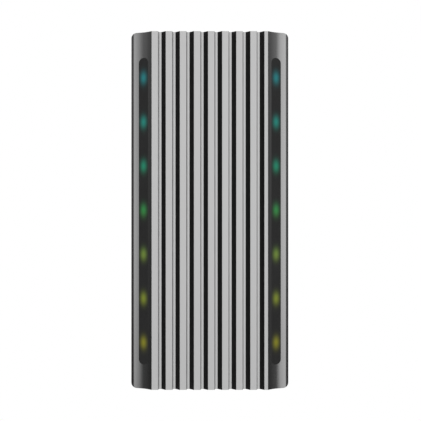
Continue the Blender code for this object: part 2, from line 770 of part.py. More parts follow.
def management_board(finish):
    """Battery management circuit board with its larger components."""
    middle = BOARD_FACE + BOARD_SHEET / 2
    board = block("management_board", BOARD_X, (BOARD_FACE, BOARD_FACE + BOARD_SHEET), BOARD_Z, finish)
    for name, x_span, z_span, rise in BOARD_PARTS:
        join(board, block(f"board_{name}", x_span, (BOARD_FACE - rise, middle), z_span))
    inset, post_radius = 0.010, 0.004
    for x in (BOARD_X[0] + inset, BOARD_X[1] - inset):
        for z in (BOARD_Z[0] + inset, BOARD_Z[1] - inset):
            post = circle(post_radius, (x, z), 12)
            join(board, prism("board_post", post, middle, PLATE_FRONT - GAP, along_y))
    return board


def main_contactor(finish):
    """Sealed main relay with two screw terminals on top."""
    top = CONTACTOR_Z[1]
    body_y = (CONTACTOR_FRONT, PLATE_FRONT - GAP)
    contactor = block("main_contactor", CONTACTOR_X, body_y, CONTACTOR_Z, finish)
    middle_y = (CONTACTOR_FRONT + PLATE_FRONT) / 2
    for number, x in enumerate(STUD_X):
        stud = circle(STUD_RADIUS, (x, middle_y), 12)
        join(contactor, prism(f"contactor_stud_{number + 1}", stud, top - STUD_RISE / 4, top + STUD_RISE))
    return contactor


def main_fuse(finish):
    """Cartridge fuse with a blade at each end, standing in the plate's clips."""
    thin, wide = BLADE_HALF
    fuse = prism("main_fuse", circle(FUSE_RADIUS, (FUSE_Y, FUSE_Z), 16), *FUSE_X, along_x, finish)
    blade = block("fuse_blades", BLADE_X, (FUSE_Y - thin, FUSE_Y + thin), (FUSE_Z - wide, FUSE_Z + wide))
    return join(fuse, blade)


# --- Connections in the bay -----------------------------------------------------------------------

NUT_TOP = CEILING_TOP + GAP
ROOT = 0.001  # how far pieces of one solid reach into each other

ISOLATOR_PLATE = (0.062, 0.006, 0.004)  # side, corner radius, thickness
ISOLATOR_COLLAR = (0.025, 0.006)  # radius, and how far it stands below the ceiling
ISOLATOR_BODY = (0.046, 0.004, 0.030)  # side, corner radius, height of the switch above the ceiling
SPINDLE_RADIUS = 0.0030
SPINDLE_TOP = NUT_TOP + 0.012
KNOB_TOP = SEAT - ISOLATOR_COLLAR[1] - 0.0005
KNOB_RADIUS = 0.0225
KNOB_DISC = 0.0065
GRIP = (0.012, 0.042, 0.005)  # width, length, corner radius
GRIP_LOW = KNOB_TOP - 0.019


def isolator_base(finish):
    """Square plate and collar of the battery isolator, and the switch body they clamp above the ceiling."""
    x, y, radius = FITTINGS["isolator"]
    side, corner, thickness = ISOLATOR_PLATE
    collar_radius, collar_drop = ISOLATOR_COLLAR
    body_side, body_corner, body_rise = ISOLATOR_BODY
    plate = rounded_rectangle(side, side, corner, 4, (x, y))
    base = prism("isolator_base", plate, SEAT - thickness, SEAT, along_z, finish)
    collar = circle(collar_radius, (x, y), 32)
    join(base, prism("isolator_collar", collar, SEAT - collar_drop, SEAT - thickness + ROOT))
    join(base, prism("isolator_neck", circle(radius - GAP, (x, y), 16), SEAT - ROOT, NUT_TOP + 4 * ROOT))
    body = rounded_rectangle(body_side, body_side, body_corner, 2, (x, y))
    join(base, prism("isolator_switch", body, NUT_TOP, NUT_TOP + body_rise))
    hole = bore(SPINDLE_RADIUS, (x, y))
    return cut(base, prism("spindle_bore", hole, KNOB_TOP - OVERCUT, SPINDLE_TOP + ROOT))


def isolator_knob(finish):
    """Disc with a grip bar and a spindle up into the switch. It turns a quarter between on and off."""
    x, y, _ = FITTINGS["isolator"]
    profile = [
        (KNOB_RADIUS - 0.0013, KNOB_TOP - KNOB_DISC),
        (KNOB_RADIUS, KNOB_TOP - KNOB_DISC + 0.0015),
        (KNOB_RADIUS, KNOB_TOP - 0.001),
        (KNOB_RADIUS - 0.001, KNOB_TOP),
        (SPINDLE_RADIUS, KNOB_TOP),
        (SPINDLE_RADIUS, SPINDLE_TOP),
    ]
    knob = lathe("isolator_knob", profile, (x, y), finish)
    grip = rounded_rectangle(*GRIP, 4, (x, y))
    join(knob, prism("knob_grip", grip, GRIP_LOW, KNOB_TOP - KNOB_DISC / 2))
    return put_origin_at(knob, (x, y, KNOB_TOP))


BUTTON_RADIUS = 0.0075
BUTTON_CLEAR = 0.0004
BUTTON_COLLAR = 0.0016  # how far the collar stands out, which keeps the button in
BEZEL_TOP = CEILING_TOP + 0.012
BEZEL_FACE = SEAT - 0.003
BEZEL_RADIUS = 0.0125


def button_bezel(finish):
    """Threaded ring that holds the power button in the ceiling."""
    x, y, radius = FITTINGS["button"]
    inner = BUTTON_RADIUS + BUTTON_CLEAR
    profile = [
        (inner, BEZEL_FACE),
        (BEZEL_RADIUS - 0.001, BEZEL_FACE),
        (BEZEL_RADIUS, BEZEL_FACE + 0.001),
        (BEZEL_RADIUS, SEAT),
        (radius - GAP, SEAT),
        (radius - GAP, BEZEL_TOP),
        (inner, BEZEL_TOP),
    ]
    return lathe("button_bezel", profile, (x, y), finish, closed=True)


def power_button(finish):
    """Round push button that springs back out, kept in by the collar at its inner end."""
    x, y, _ = FITTINGS["button"]
    face = BEZEL_FACE - 0.003
    collar = BEZEL_TOP + GAP
    profile = [
        (BUTTON_RADIUS - 0.0012, face),
        (BUTTON_RADIUS, face + 0.0008),
        (BUTTON_RADIUS, collar),
        (BUTTON_RADIUS + BUTTON_COLLAR, collar),
        (BUTTON_RADIUS + BUTTON_COLLAR, collar + 0.0015),
    ]
    return put_origin_at(lathe("power_button", profile, (x, y), finish), (x, y, face))


def pressure_vent(finish):
    """Domed breather that lets gas out of the sealed chassis."""
    x, y, radius = FITTINGS["vent"]
    profile = [
        (0.0060, SEAT - 0.0085),
        (0.0095, SEAT - 0.0070),
        (0.0110, SEAT - 0.0040),
        (0.0110, SEAT),
        (radius - GAP, SEAT),
        (radius - GAP, CEILING_TOP + 0.006),
    ]
    return lathe("pressure_vent", profile, (x, y), finish, 20)


SOCKET_CAP = (0.0105, 0.0280)  # radius, and how far it stands below the ceiling
SOCKET_RING = (0.0120, 0.0080)
SOCKET_FLANGE = (0.0145, 0.0050)
SOCKET_RISE = 0.014


def dc_socket(fitting, name, finish):
    """Round power connector with its sealing cap on."""
    x, y, radius = FITTINGS[fitting]
    profile = [
        (SOCKET_CAP[0] - 0.0015, SEAT - SOCKET_CAP[1]),
        (SOCKET_CAP[0], SEAT - SOCKET_CAP[1] + 0.0015),
        (SOCKET_CAP[0], SEAT - SOCKET_RING[1]),
        (SOCKET_RING[0], SEAT - SOCKET_RING[1]),
        (SOCKET_RING[0], SEAT - SOCKET_FLANGE[1]),
        (SOCKET_FLANGE[0], SEAT - SOCKET_FLANGE[1]),
        (SOCKET_FLANGE[0], SEAT),
        (radius - GAP, SEAT),
        (radius - GAP, CEILING_TOP + SOCKET_RISE),
    ]
    return lathe(name, profile, (x, y), finish, 24)


GLAND_HEXAGON = (0.0139, 0.007)  # radius to its corners, thickness
GLAND_NUT = 0.0115  # radius
GLAND_END = 0.026
GLAND_RISE = 0.010


def cable_gland(fitting, name, finish):
    """Hexagon gland with a domed nut, closed by a blanking plug."""
    x, y, radius = FITTINGS[fitting]
    hexagon, thickness = GLAND_HEXAGON
    body = prism(name, circle(hexagon, (x, y), 6), SEAT - thickness, SEAT, along_z, finish)
    profile = [
        (GLAND_NUT - 0.0045, SEAT - GLAND_END),
        (GLAND_NUT - 0.0020, SEAT - GLAND_END + 0.0015),
        (GLAND_NUT, SEAT - GLAND_END + 0.0070),
        (GLAND_NUT, SEAT - thickness + ROOT),
    ]
    join(body, lathe(name + "_dome", profile, (x, y), None, 18))
    neck = circle(radius - GAP, (x, y), 18)
    return join(body, prism(name + "_neck", neck, SEAT - ROOT, CEILING_TOP + GLAND_RISE))


EARTH_LENGTH = 0.016
EARTH_NUT = (0.0065, 0.005)  # radius to its corners, thickness


def earth_stud(finish):
    """Screw stud with a flat nut for the earth cable."""
    x, y, radius = FITTINGS["earth"]
    nut_radius, nut_thickness = EARTH_NUT
    shank = circle(radius - GAP, (x, y), 12)
    stud = prism("earth_stud", shank, SEAT - EARTH_LENGTH, CEILING_TOP + 0.006, along_z, finish)
    return join(stud, prism("earth_nut", circle(nut_radius, (x, y), 6), SEAT - nut_thickness, SEAT))


PORT_X = (0.022, 0.078)
PORT_Y = (-0.116, -0.082)
PORT_LOW = SEAT - 0.018
PIN_Y, PIN_Z, PIN_RADIUS = -0.0760, PORT_LOW - 0.0018, 0.0015
EAR_WIDTH = 0.006
JACK_CENTRES = (0.038, 0.062)
JACK_SIZE = (0.0118, 0.0085, 0.013)


def port_block(finish):
    """Housing of the two data sockets, with an ear at each end for the door's hinge."""
    housing = block("port_block", PORT_X, PORT_Y, (PORT_LOW, SEAT), finish)
    for number, x in enumerate((PORT_X[0], PORT_X[1] - EAR_WIDTH)):
        ear = [
            (PORT_Y[1] - 0.002, PORT_LOW + 0.006),
            (PORT_Y[1] - 0.002, PORT_LOW + 0.0004),
            (PIN_Y - 0.004, PIN_Z - 0.0032),
            (PIN_Y + 0.003, PIN_Z - 0.0032),
            (PIN_Y + 0.004, PIN_Z),
            (PIN_Y + 0.003, PIN_Z + 0.005),
        ]
        join(housing, prism(f"port_ear_{number + 1}", ear, x, x + EAR_WIDTH, along_x))
    pin_hole = bore(PIN_RADIUS, (PIN_Y, PIN_Z))
    cut(housing, prism("port_pin_hole", pin_hole, PORT_X[0] - OVERCUT, PORT_X[1] + OVERCUT, along_x))
    width, depth, height = JACK_SIZE
    middle = sum(PORT_Y) / 2
    for number, x in enumerate(JACK_CENTRES):
        jack = block(
            f"port_jack_{number + 1}",
            (x - width / 2, x + width / 2),
            (middle - depth / 2, middle + depth / 2),
            (PORT_LOW - OVERCUT, PORT_LOW + height),
        )
        cut(housing, jack)
    return housing


def port_door_pin(finish):
    """Hinge pin through both ears and the door's knuckle."""
    pin = circle(PIN_RADIUS, (PIN_Y, PIN_Z))
    return prism("port_door_pin", pin, PORT_X[0] + 0.0005, PORT_X[1] - 0.0005, along_x, finish)


def port_door(finish):
    """Flap over the data sockets that drops open about the pin at its rear edge."""
    knuckle_x = (PORT_X[0] + EAR_WIDTH + 0.001, PORT_X[1] - EAR_WIDTH - 0.001)
    top = PORT_LOW - 0.0006
    bottom = top - 0.0024
    leaf_back = PIN_Y - 0.0075
    leaf_front = PORT_Y[0] - 0.002
    leaf = [(leaf_front, top), (leaf_front, bottom), (leaf_back, bottom), (leaf_back, top)]
    door = prism("port_door", leaf, PORT_X[0] - 0.001, PORT_X[1] + 0.001, along_x, finish)
    web = [(leaf_back - 0.002, top), (leaf_back - 0.002, bottom), (PIN_Y, bottom), (PIN_Y, top)]
    join(door, prism("door_web", web, *knuckle_x, along_x))
    join(door, prism("door_knuckle", circle(0.0034, (PIN_Y, PIN_Z), 16), *knuckle_x, along_x))
    pin_hole = bore(PIN_RADIUS, (PIN_Y, PIN_Z))
    cut(door, prism("door_pin_hole", pin_hole, knuckle_x[0] - OVERCUT, knuckle_x[1] + OVERCUT, along_x))
    return put_origin_at(door, ((PORT_X[0] + PORT_X[1]) / 2, PIN_Y, PIN_Z))


# --- Build ----------------------------------------------------------------------------------------


def build():
    clear_scene()
    slat_metal = material("slat_metal", (0.52, 0.52, 0.52), 0.45, 0.6)
    flank_metal = material("flank_metal", (0.32, 0.32, 0.33), 0.35, 0.9)
    black = material("carrier_black", (0.012, 0.012, 0.012), 0.5)
    smoke = material("lens_smoke", (0.02, 0.02, 0.021), 0.25)
    coated = material("coated_steel", (0.10, 0.10, 0.105), 0.5, 0.2)
    zinc = material("zinc_steel", (0.55, 0.56, 0.57), 0.4, 0.9)
    rubber = material("rubber", (0.02, 0.02, 0.02), 0.8)
    white = material("white_plastic", (0.75, 0.75, 0.74), 0.5)
    board = material("circuit_board", (0.02, 0.12, 0.05), 0.4)
    module_metal = material("module_metal", (0.45, 0.46, 0.47), 0.4, 0.8)
    cell_wrap = material("cell_wrap", (0.02, 0.10, 0.30), 0.4)
    dark = material("dark_plastic", (0.03, 0.03, 0.032), 0.5)
    red = material("red_plastic", (0.50, 0.03, 0.02), 0.4)
    orange = material("orange_plastic", (0.75, 0.22, 0.02), 0.45)
    nickel = material("nickel", (0.60, 0.59, 0.56), 0.3, 1.0)

    wall_bracket(zinc)
    hanger_rail(CLEAT_HEIGHTS[0], "hanger_rail_upper", zinc)
    hanger_rail(CLEAT_HEIGHTS[1], "hanger_rail_lower", zinc)
    rear_chassis(coated)
    for side, hand in ((-1, "left"), (1, "right")):
        side_shell(side, f"side_shell_{hand}", flank_metal)
        lens(side, f"lens_{hand}", smoke)
        light_channel(side, f"light_channel_{hand}", white)
        light_board(side, f"light_board_{hand}", white)
        wall_bumper(side, f"wall_bumper_{hand}", rubber)
    top_panel(flank_metal)
    connection_bay(coated)
    front_carrier(black)
    front_seal(rubber)
    for index in range(SLAT_COUNT):
        slat(index, slat_metal)
    for index in range(MODULE_COUNT):
        module_case(index, module_metal)
        cell_block(index, cell_wrap)
        module_lid(index, dark)
    electronics_plate(white)
    management_board(board)
    main_contactor(dark)
    main_fuse(white)
    isolator_base(dark)
    isolator_knob(red)
    button_bezel(nickel)
    power_button(dark)
    pressure_vent(dark)
    dc_socket("socket_positive", "dc_socket_positive", orange)
    dc_socket("socket_negative", "dc_socket_negative", dark)
    cable_gland("gland_rear", "cable_gland_rear", dark)
    cable_gland("gland_front", "cable_gland_front", dark)
    earth_stud(nickel)
    port_block(dark)
    port_door_pin(nickel)
    port_door(dark)


build()
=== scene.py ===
"""Looks for the wall battery unit: shells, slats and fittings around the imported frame, and their finishes.

Metres, +Z up. The wall is the plane y = 0 and the ribbed front faces -Y. Every piece is made where the
frame's own solids are, and rides on one of the frame's bodies.
"""

import json
import math

import bmesh
import bpy
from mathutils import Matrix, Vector


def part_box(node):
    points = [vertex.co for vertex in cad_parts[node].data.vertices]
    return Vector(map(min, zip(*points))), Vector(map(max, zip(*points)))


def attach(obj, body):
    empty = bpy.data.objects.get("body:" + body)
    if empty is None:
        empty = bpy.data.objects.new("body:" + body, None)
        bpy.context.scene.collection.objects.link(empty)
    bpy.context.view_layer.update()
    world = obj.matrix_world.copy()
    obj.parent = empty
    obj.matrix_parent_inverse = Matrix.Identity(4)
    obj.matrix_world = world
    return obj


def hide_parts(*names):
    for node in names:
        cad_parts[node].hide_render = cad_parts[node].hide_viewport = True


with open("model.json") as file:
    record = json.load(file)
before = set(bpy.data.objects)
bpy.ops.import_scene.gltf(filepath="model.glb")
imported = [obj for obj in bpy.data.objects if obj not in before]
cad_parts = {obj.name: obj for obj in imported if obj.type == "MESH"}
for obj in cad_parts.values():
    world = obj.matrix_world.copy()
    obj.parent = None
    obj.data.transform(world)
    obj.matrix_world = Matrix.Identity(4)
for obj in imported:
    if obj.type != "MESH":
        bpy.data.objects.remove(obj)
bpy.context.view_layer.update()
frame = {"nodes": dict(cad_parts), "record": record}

UNIT = "unit"
TURN = 2 * math.pi

# --- Places taken from the frame --------------------------------------------------------------

GAP = 0.0003  # clearance between neighbouring pieces
LOW_Z, HIGH_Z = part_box("slat_1")[0].z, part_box("slat_1")[1].z
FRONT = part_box("slat_1")[0].y
HALF_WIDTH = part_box("side_shell_right")[1].x
BODY_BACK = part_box("side_shell_right")[1].y
FIELD_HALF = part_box("front_carrier")[1].x
RIB_HALF = FIELD_HALF + GAP
CARRIER_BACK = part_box("front_carrier")[1].y
SLAT_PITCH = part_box("slat_2")[0].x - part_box("slat_1")[0].x
SLAT_COUNT = sum(name.startswith("slat_") for name in frame["nodes"])
SLAT_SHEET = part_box(f"slat_{SLAT_COUNT}")[1].y - FRONT
LEDGE_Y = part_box("slat_1")[1].y - SLAT_SHEET
LEDGE_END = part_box("slat_1")[1].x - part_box("slat_1")[0].x  # right of a slat's left edge, as SLAT_FACE is

# --- The casing's own shape -------------------------------------------------------------------

WALL = 0.003
CORNER_RADIUS = 0.019
CUT_PAST = 0.01  # how far a cutter runs past the face it opens
# A slat, left to right: raised face, steep step down, ledge; the carrier slopes up to the next one
SLAT_FACE = 0.0208
SLAT_STEP_RUN = 0.0027
STEP_SHEET = SLAT_SHEET * 1.03  # the sheet measured sideways through the steep step
SLOPE_SAG = 0.25
SLOPE_STEPS = 10
SLOPE_TIP = 0.0007  # flat top of a slope
# A shell's flank: its slope at the front, at the break and at the rounded rear edge
SWEEP_SLOPES = (math.radians(46.0), math.radians(20.0), math.radians(13.0))
SWEEP_BREAK = 0.030
SWEEP_STEPS = (22, 14)
EDGE_RADIUS = 0.0135
EDGE_STEPS = 12
LIP_REACH = 0.012  # how far a shell's flat lip reaches in behind the carrier
LIP_FRONT, LIP_BACK = -0.168, -0.165
LIP_END_INSET = 0.015
# Lens slot, by distance out from the shell's front edge
SLOT_INNER, SLOT_OUTER = 0.0112, 0.0426
SLOT_LENGTH = 0.990
SLOT_CENTRE_Z = -0.0024
SLOT_CUT = (-0.012, 0.010)
LENS_RECESS = 0.0008
LENS_BACK = -0.0060
LENS_FLANGE = (-0.0066, -0.0050)
LENS_FLANGE_WIDER = 0.007
LIGHT_PITCH = 0.1423
LIGHT_CENTRE_Z = 0.0012
LIGHT_COUNT = 7


def middle(node):
    """(x, y) at the middle of a node's box."""
    low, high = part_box(node)
    return (low.x + high.x) / 2, (low.y + high.y) / 2


# --- Shader helpers ---------------------------------------------------------------------------


def shader_node(tree, kind, inputs=None, **settings):
    """Adds a node of a kind. inputs maps a socket's name or number to a value or another node's output."""
    made = tree.nodes.new("ShaderNode" + kind)
    for key, value in settings.items():
        setattr(made, key, value)
    for key, value in (inputs or {}).items():
        if isinstance(value, bpy.types.NodeSocket):
            tree.links.new(value, made.inputs[key])
        else:
            made.inputs[key].default_value = value
    return made


def math_node(tree, operation, *values):
    return shader_node(tree, "Math", dict(enumerate(values)), operation=operation).outputs[0]


def remap(tree, value, low, high, to_low=0.0, to_high=1.0):
    """Maps low..high to to_low..to_high, held at both ends."""
    ends = {"From Min": low, "From Max": high, "To Min": to_low, "To Max": to_high}
    return shader_node(tree, "MapRange", {"Value": value, **ends}).outputs["Result"]


def mix_colours(tree, mask, low, high):
    """Runs from low to high with the mask. Each is a colour or another node's output."""
    ends = [end if isinstance(end, bpy.types.NodeSocket) else (*end, 1.0) for end in (low, high)]
    inputs = {"Factor": mask, 6: ends[0], 7: ends[1]}
    return shader_node(tree, "Mix", inputs, data_type="RGBA").outputs[2]


def scale_colour(tree, colour, factor):
    inputs = {0: colour, "Scale": factor}
    return shader_node(tree, "VectorMath", inputs, operation="SCALE").outputs["Vector"]


def own_place(tree):
    """Where a point is in the piece's own space, in metres."""
    return shader_node(tree, "TexCoord").outputs["Object"]


def ramp(tree, factor, stops):
    """Colour ramp through (position, colour) stops."""
    made = shader_node(tree, "ValToRGB", {"Fac": factor})
    elements = made.color_ramp.elements
    while len(elements) < len(stops):
        elements.new(0.5)
    for element, (position, colour) in zip(elements, stops):
        element.position = position
        element.color = (*colour, 1.0)
    return made.outputs["Color"]


def node_group(name, inputs, outputs):
    """An empty shader group with named float, colour or vector sockets, and its two end nodes."""
    kinds = {"value": "NodeSocketFloat", "colour": "NodeSocketColor", "vector": "NodeSocketVector"}
    group = bpy.data.node_groups.new(name, "ShaderNodeTree")
    for label, kind, default in inputs:
        socket = group.interface.new_socket(label, in_out="INPUT", socket_type=kinds[kind])
        socket.default_value = default
    for label, kind in outputs:
        group.interface.new_socket(label, in_out="OUTPUT", socket_type=kinds[kind])
    return group, group.nodes.new("NodeGroupInput").outputs, group.nodes.new("NodeGroupOutput").inputs


def use_group(tree, group, **values):
    """Places a group in a material; underscores in the names of values stand for spaces."""
    inputs = {key.replace("_", " "): value for key, value in values.items()}
    return shader_node(tree, "Group", inputs, node_tree=group).outputs


# --- Shader groups ----------------------------------------------------------------------------


def put_out_grain(group, given, result, noise, distance):
    """Gives a group's noise out as a shade around 0.5 and as a surface normal."""
    height = noise.outputs["Fac"]
    inputs = {"Height": height, "Strength": given["Depth"], "Distance": distance}
    group.links.new(height, result["Shade"])
    group.links.new(shader_node(group, "Bump", inputs).outputs["Normal"], result["Normal"])


def make_brushed_grain():
    """Long fine scratches along Z, as a shade around 0.5 and a surface normal."""
    group, given, result = node_group(
        "brushed_grain",
        [("Lines per metre", "value", 1500.0), ("Length", "value", 0.02), ("Depth", "value", 0.02)],
        [("Shade", "value"), ("Normal", "vector")],
    )
    crosswise = given["Lines per metre"]
    lengthwise = math_node(group, "MULTIPLY", crosswise, given["Length"])
    scale = shader_node(group, "CombineXYZ", {0: crosswise, 1: crosswise, 2: lengthwise}).outputs[0]
    stretched = shader_node(group, "VectorMath", {0: own_place(group), 1: scale}, operation="MULTIPLY")
    lines = shader_node(group, "TexNoise", {"Vector": stretched.outputs[0], "Scale": 1.0, "Detail": 4.0})
    put_out_grain(group, given, result, lines, 0.0005)
    return group


def make_fine_texture():
    """Small rounded grain, as on powder coat and moulded plastic."""
    group, given, result = node_group(
        "fine_texture",
        [("Grains per metre", "value", 900.0), ("Depth", "value", 0.15)],
        [("Shade", "value"), ("Normal", "vector")],
    )
    grain = shader_node(
        group,
        "TexNoise",
        {"Vector": own_place(group), "Scale": given["Grains per metre"], "Detail": 3.0, "Roughness": 0.6},
    )
    put_out_grain(group, given, result, grain, 0.0004)
    return group


def make_handling():
    """Broad soft clouds where a surface has been wiped and touched, from 0 to 1."""
    group, given, result = node_group(
        "handling", [("Size", "value", 0.12), ("Seed", "value", 0.0)], [("Mask", "value")]
    )
    clouds = shader_node(
        group,
        "TexNoise",
        {
            "Vector": own_place(group),
            "W": given["Seed"],
            "Scale": math_node(group, "DIVIDE", 1.0, given["Size"]),
            "Detail": 5.0,
            "Roughness": 0.55,
        },
        noise_dimensions="4D",
    )
    group.links.new(remap(group, clouds.outputs["Fac"], 0.3, 0.7), result["Mask"])
    return group


def make_edge_wear():
    """1 along outer edges where the finish has rubbed thin, broken up by noise."""
    group, given, result = node_group(
        "edge_wear", [("Width", "value", 0.0008), ("Amount", "value", 0.5)], [("Mask", "value")]
    )
    rounded = shader_node(group, "Bevel", {"Radius": given["Width"]}, samples=4)
    true_normal = shader_node(group, "NewGeometry").outputs["Normal"]
    normals = {0: rounded.outputs[0], 1: true_normal}
    alike = shader_node(group, "VectorMath", normals, operation="DOT_PRODUCT")
    edge = remap(group, alike.outputs["Value"], 0.995, 0.90)
    speckle = shader_node(group, "TexNoise", {"Vector": own_place(group), "Scale": 220.0, "Detail": 4.0})
    broken = remap(group, speckle.outputs["Fac"], 0.45, 0.65)
    worn = math_node(group, "MULTIPLY", edge, broken)
    group.links.new(math_node(group, "MULTIPLY", worn, given["Amount"]), result["Mask"])
    return group


BRUSHED_GRAIN = make_brushed_grain()
FINE_TEXTURE = make_fine_texture()
HANDLING = make_handling()
EDGE_WEAR = make_edge_wear()


# --- Finishes ---------------------------------------------------------------------------------


def new_finish(name, roughness, metallic=0.0, **sockets):
    """A material with even values set on its shader; returns the material, its tree and the shader."""
    made = bpy.data.materials.new(name)
    made.use_nodes = True
    shader = made.node_tree.nodes["Principled BSDF"]
    shader.inputs["Roughness"].default_value = roughness
    shader.inputs["Metallic"].default_value = metallic
    for key, value in sockets.items():
        shader.inputs[key.replace("_", " ")].default_value = value
    return made, made.node_tree, shader


def vary_colour(tree, shader, mask, low, high):
    """Base Color runs from low to high with the mask."""
    mixed = mix_colours(tree, mask, low, high)
    tree.links.new(mixed, shader.inputs["Base Color"])
    return mixed


def vary_roughness(tree, shader, mask, low, high):
    tree.links.new(remap(tree, mask, 0.0, 1.0, low, high), shader.inputs["Roughness"])


def grey(value):
    return (value, value, value)


def blend(tree, clouds, grain, share):
    """A mask of clouds for a share and of grain for the rest."""
    fine = math_node(tree, "MULTIPLY", grain["Shade"], 1 - share)
    return math_node(tree, "MULTIPLY_ADD", clouds["Mask"], share, fine)


def brushed_metal(name, shade, roughness, depth, lines=1500.0, length=0.02, spread=0.05, metallic=1.0):
    """Satin metal brushed along Z; the spread is how far its shade strays either way."""
    made, tree, shader = new_finish(name, roughness, metallic)
    grain = use_group(tree, BRUSHED_GRAIN, Lines_per_metre=lines, Length=length, Depth=depth)
    clouds = use_group(tree, HANDLING, Size=0.25)
    mask = blend(tree, clouds, grain, 0.35)
    vary_colour(tree, shader, mask, grey(shade * (1 - spread)), grey(shade * (1 + spread)))
    vary_roughness(tree, shader, clouds["Mask"], roughness * 0.94, roughness * 1.06)
    tree.links.new(grain["Normal"], shader.inputs["Normal"])
    return made


def coated(
    name, colour, roughness, grains=900.0, depth=0.15, spread=0.12, metallic=0.0, wear=None, **sockets
):
    """Paint or moulded plastic: fine grain, slight clouding and, if wear gives a colour, rubbed edges."""
    made, tree, shader = new_finish(name, roughness, metallic, **sockets)
    grain = use_group(tree, FINE_TEXTURE, Grains_per_metre=grains, Depth=depth)
    clouds = use_group(tree, HANDLING, Size=0.09)
    low = tuple(channel * (1 - spread) for channel in colour)
    high = tuple(min(1.0, channel * (1 + spread)) for channel in colour)
    mask = blend(tree, clouds, grain, 0.6)
    base = vary_colour(tree, shader, mask, low, high)
    if wear is not None:
        vary_colour(tree, shader, use_group(tree, EDGE_WEAR)["Mask"], base, wear)
    vary_roughness(tree, shader, mask, roughness * 0.92, min(1.0, roughness * 1.08))
    tree.links.new(grain["Normal"], shader.inputs["Normal"])
    return made


GLOW_HEIGHT, GLOW_WIDTH = 0.0136, 0.0070  # where a glow has fallen to e^-0.5 of its middle
GLOW_COLOURS = (  # from the lowest light to the highest
    (0.172, 0.165, 0.000),
    (0.148, 0.186, 0.008),
    (0.114, 0.184, 0.020),
    (0.012, 0.180, 0.034),
    (0.000, 0.184, 0.102),
    (0.000, 0.179, 0.142),
    (0.000, 0.154, 0.169),
)


def make_charge_glow():
    """Soft upright ovals of light along a lens, yellow at the bottom and teal at the top."""
    group, given, result = node_group(
        "charge_glow", [("Across", "value", 0.0), ("Height", "value", 0.0)], [("Glow", "colour")]
    )
    from_light = math_node(group, "SUBTRACT", given["Height"], LIGHT_CENTRE_Z)
    wrapped = math_node(group, "WRAP", from_light, LIGHT_PITCH / 2, -LIGHT_PITCH / 2)
    up = math_node(group, "DIVIDE", wrapped, GLOW_HEIGHT)
    over = math_node(group, "DIVIDE", given["Across"], GLOW_WIDTH)
    square = math_node(group, "MULTIPLY_ADD", up, up, math_node(group, "MULTIPLY", over, over))
    oval = math_node(group, "EXPONENT", math_node(group, "MULTIPLY", square, -0.5))
    span = LIGHT_PITCH * (LIGHT_COUNT - 1)
    along = math_node(group, "MULTIPLY_ADD", from_light, 1 / span, 0.5)
    stops = [(i / (LIGHT_COUNT - 1), colour) for i, colour in enumerate(GLOW_COLOURS)]
    group.links.new(scale_colour(group, ramp(group, along, stops), oval), result["Glow"])
    return group


CHARGE_GLOW = make_charge_glow()


def smoked_lens_finish(glow_centre_x):
    """Smoked semi-matt acrylic with the charge lights showing through as soft glows."""
    made, tree, shader = new_finish("lens_smoke", 0.30, Emission_Strength=1.0, Specular_IOR_Level=0.35)
    split = shader_node(tree, "SeparateXYZ", {0: own_place(tree)}).outputs
    across = math_node(tree, "SUBTRACT", math_node(tree, "ABSOLUTE", split["X"]), glow_centre_x)
    glow = use_group(tree, CHARGE_GLOW, Across=across, Height=split["Z"])
    tree.links.new(glow["Glow"], shader.inputs["Emission Color"])
    clouds = use_group(tree, HANDLING, Size=0.06)
    vary_colour(tree, shader, clouds["Mask"], grey(0.0270), grey(0.0300))
    vary_roughness(tree, shader, clouds["Mask"], 0.28, 0.33)
    return made


def circuit_board_finish():
    """Green solder mask with paler copper tracks under it."""
    made, tree, shader = new_finish("circuit_board", 0.35)
    inputs = {"Vector": own_place(tree), "Scale": 260.0}
    cells = shader_node(tree, "TexVoronoi", inputs, feature="DISTANCE_TO_EDGE")
    track = remap(tree, cells.outputs["Distance"], 0.08, 0.04)
    vary_colour(tree, shader, track, (0.012, 0.085, 0.035), (0.05, 0.20, 0.08))
    vary_roughness(tree, shader, track, 0.35, 0.28)
    return made


SLOT_MIDDLE_X = RIB_HALF + (SLOT_INNER + SLOT_OUTER) / 2
FINISHES = {
    "slat_metal": brushed_metal("slat_metal", 0.595, 0.36, 0.05, metallic=0.9),
    "flank_metal": brushed_metal("flank_metal", 0.50, 0.155, 0.02, lines=2200.0, spread=0.03),
    "carrier_black": coated(
        "carrier_black", (0.0040, 0.0040, 0.0042), 0.42, 1400.0, 0.08, Specular_IOR_Level=0.4
    ),
    "lens_smoke": smoked_lens_finish(SLOT_MIDDLE_X),
    "coated_steel": coated(
        "coated_steel", (0.115, 0.117, 0.121), 0.5, 1300.0, 0.35, wear=(0.35, 0.35, 0.36)
    ),
    "zinc_steel": coated("zinc_steel", (0.56, 0.57, 0.57), 0.36, 260.0, 0.05, spread=0.18, metallic=1.0),
    "rubber": coated("rubber", (0.016, 0.016, 0.016), 0.78, 1500.0, 0.3, spread=0.25),
    "white_plastic": coated("white_plastic", (0.74, 0.74, 0.72), 0.5, 1600.0, 0.1, spread=0.03),
    "circuit_board": circuit_board_finish(),
    "module_metal": brushed_metal("module_metal", 0.55, 0.38, 0.08, lines=700.0),
    "cell_wrap": coated("cell_wrap", (0.015, 0.09, 0.28), 0.30, 500.0, 0.05, Coat_Weight=0.3),
    "dark_plastic": coated("dark_plastic", (0.022, 0.022, 0.024), 0.46, 1300.0, 0.25, spread=0.2),
    "red_plastic": coated("red_plastic", (0.46, 0.022, 0.015), 0.36, 1500.0, 0.12, wear=(0.62, 0.16, 0.12)),
    "orange_plastic": coated("orange_plastic", (0.72, 0.19, 0.015), 0.42, 1300.0, 0.2, spread=0.08),
    "nickel": brushed_metal("nickel", 0.62, 0.26, 0.03, lines=3000.0, length=1.0),
}


# --- Mesh helpers -----------------------------------------------------------------------------


def along_x(a, b, c):
    return (c, a, b)


def along_y(a, b, c):
    return (a, c, b)


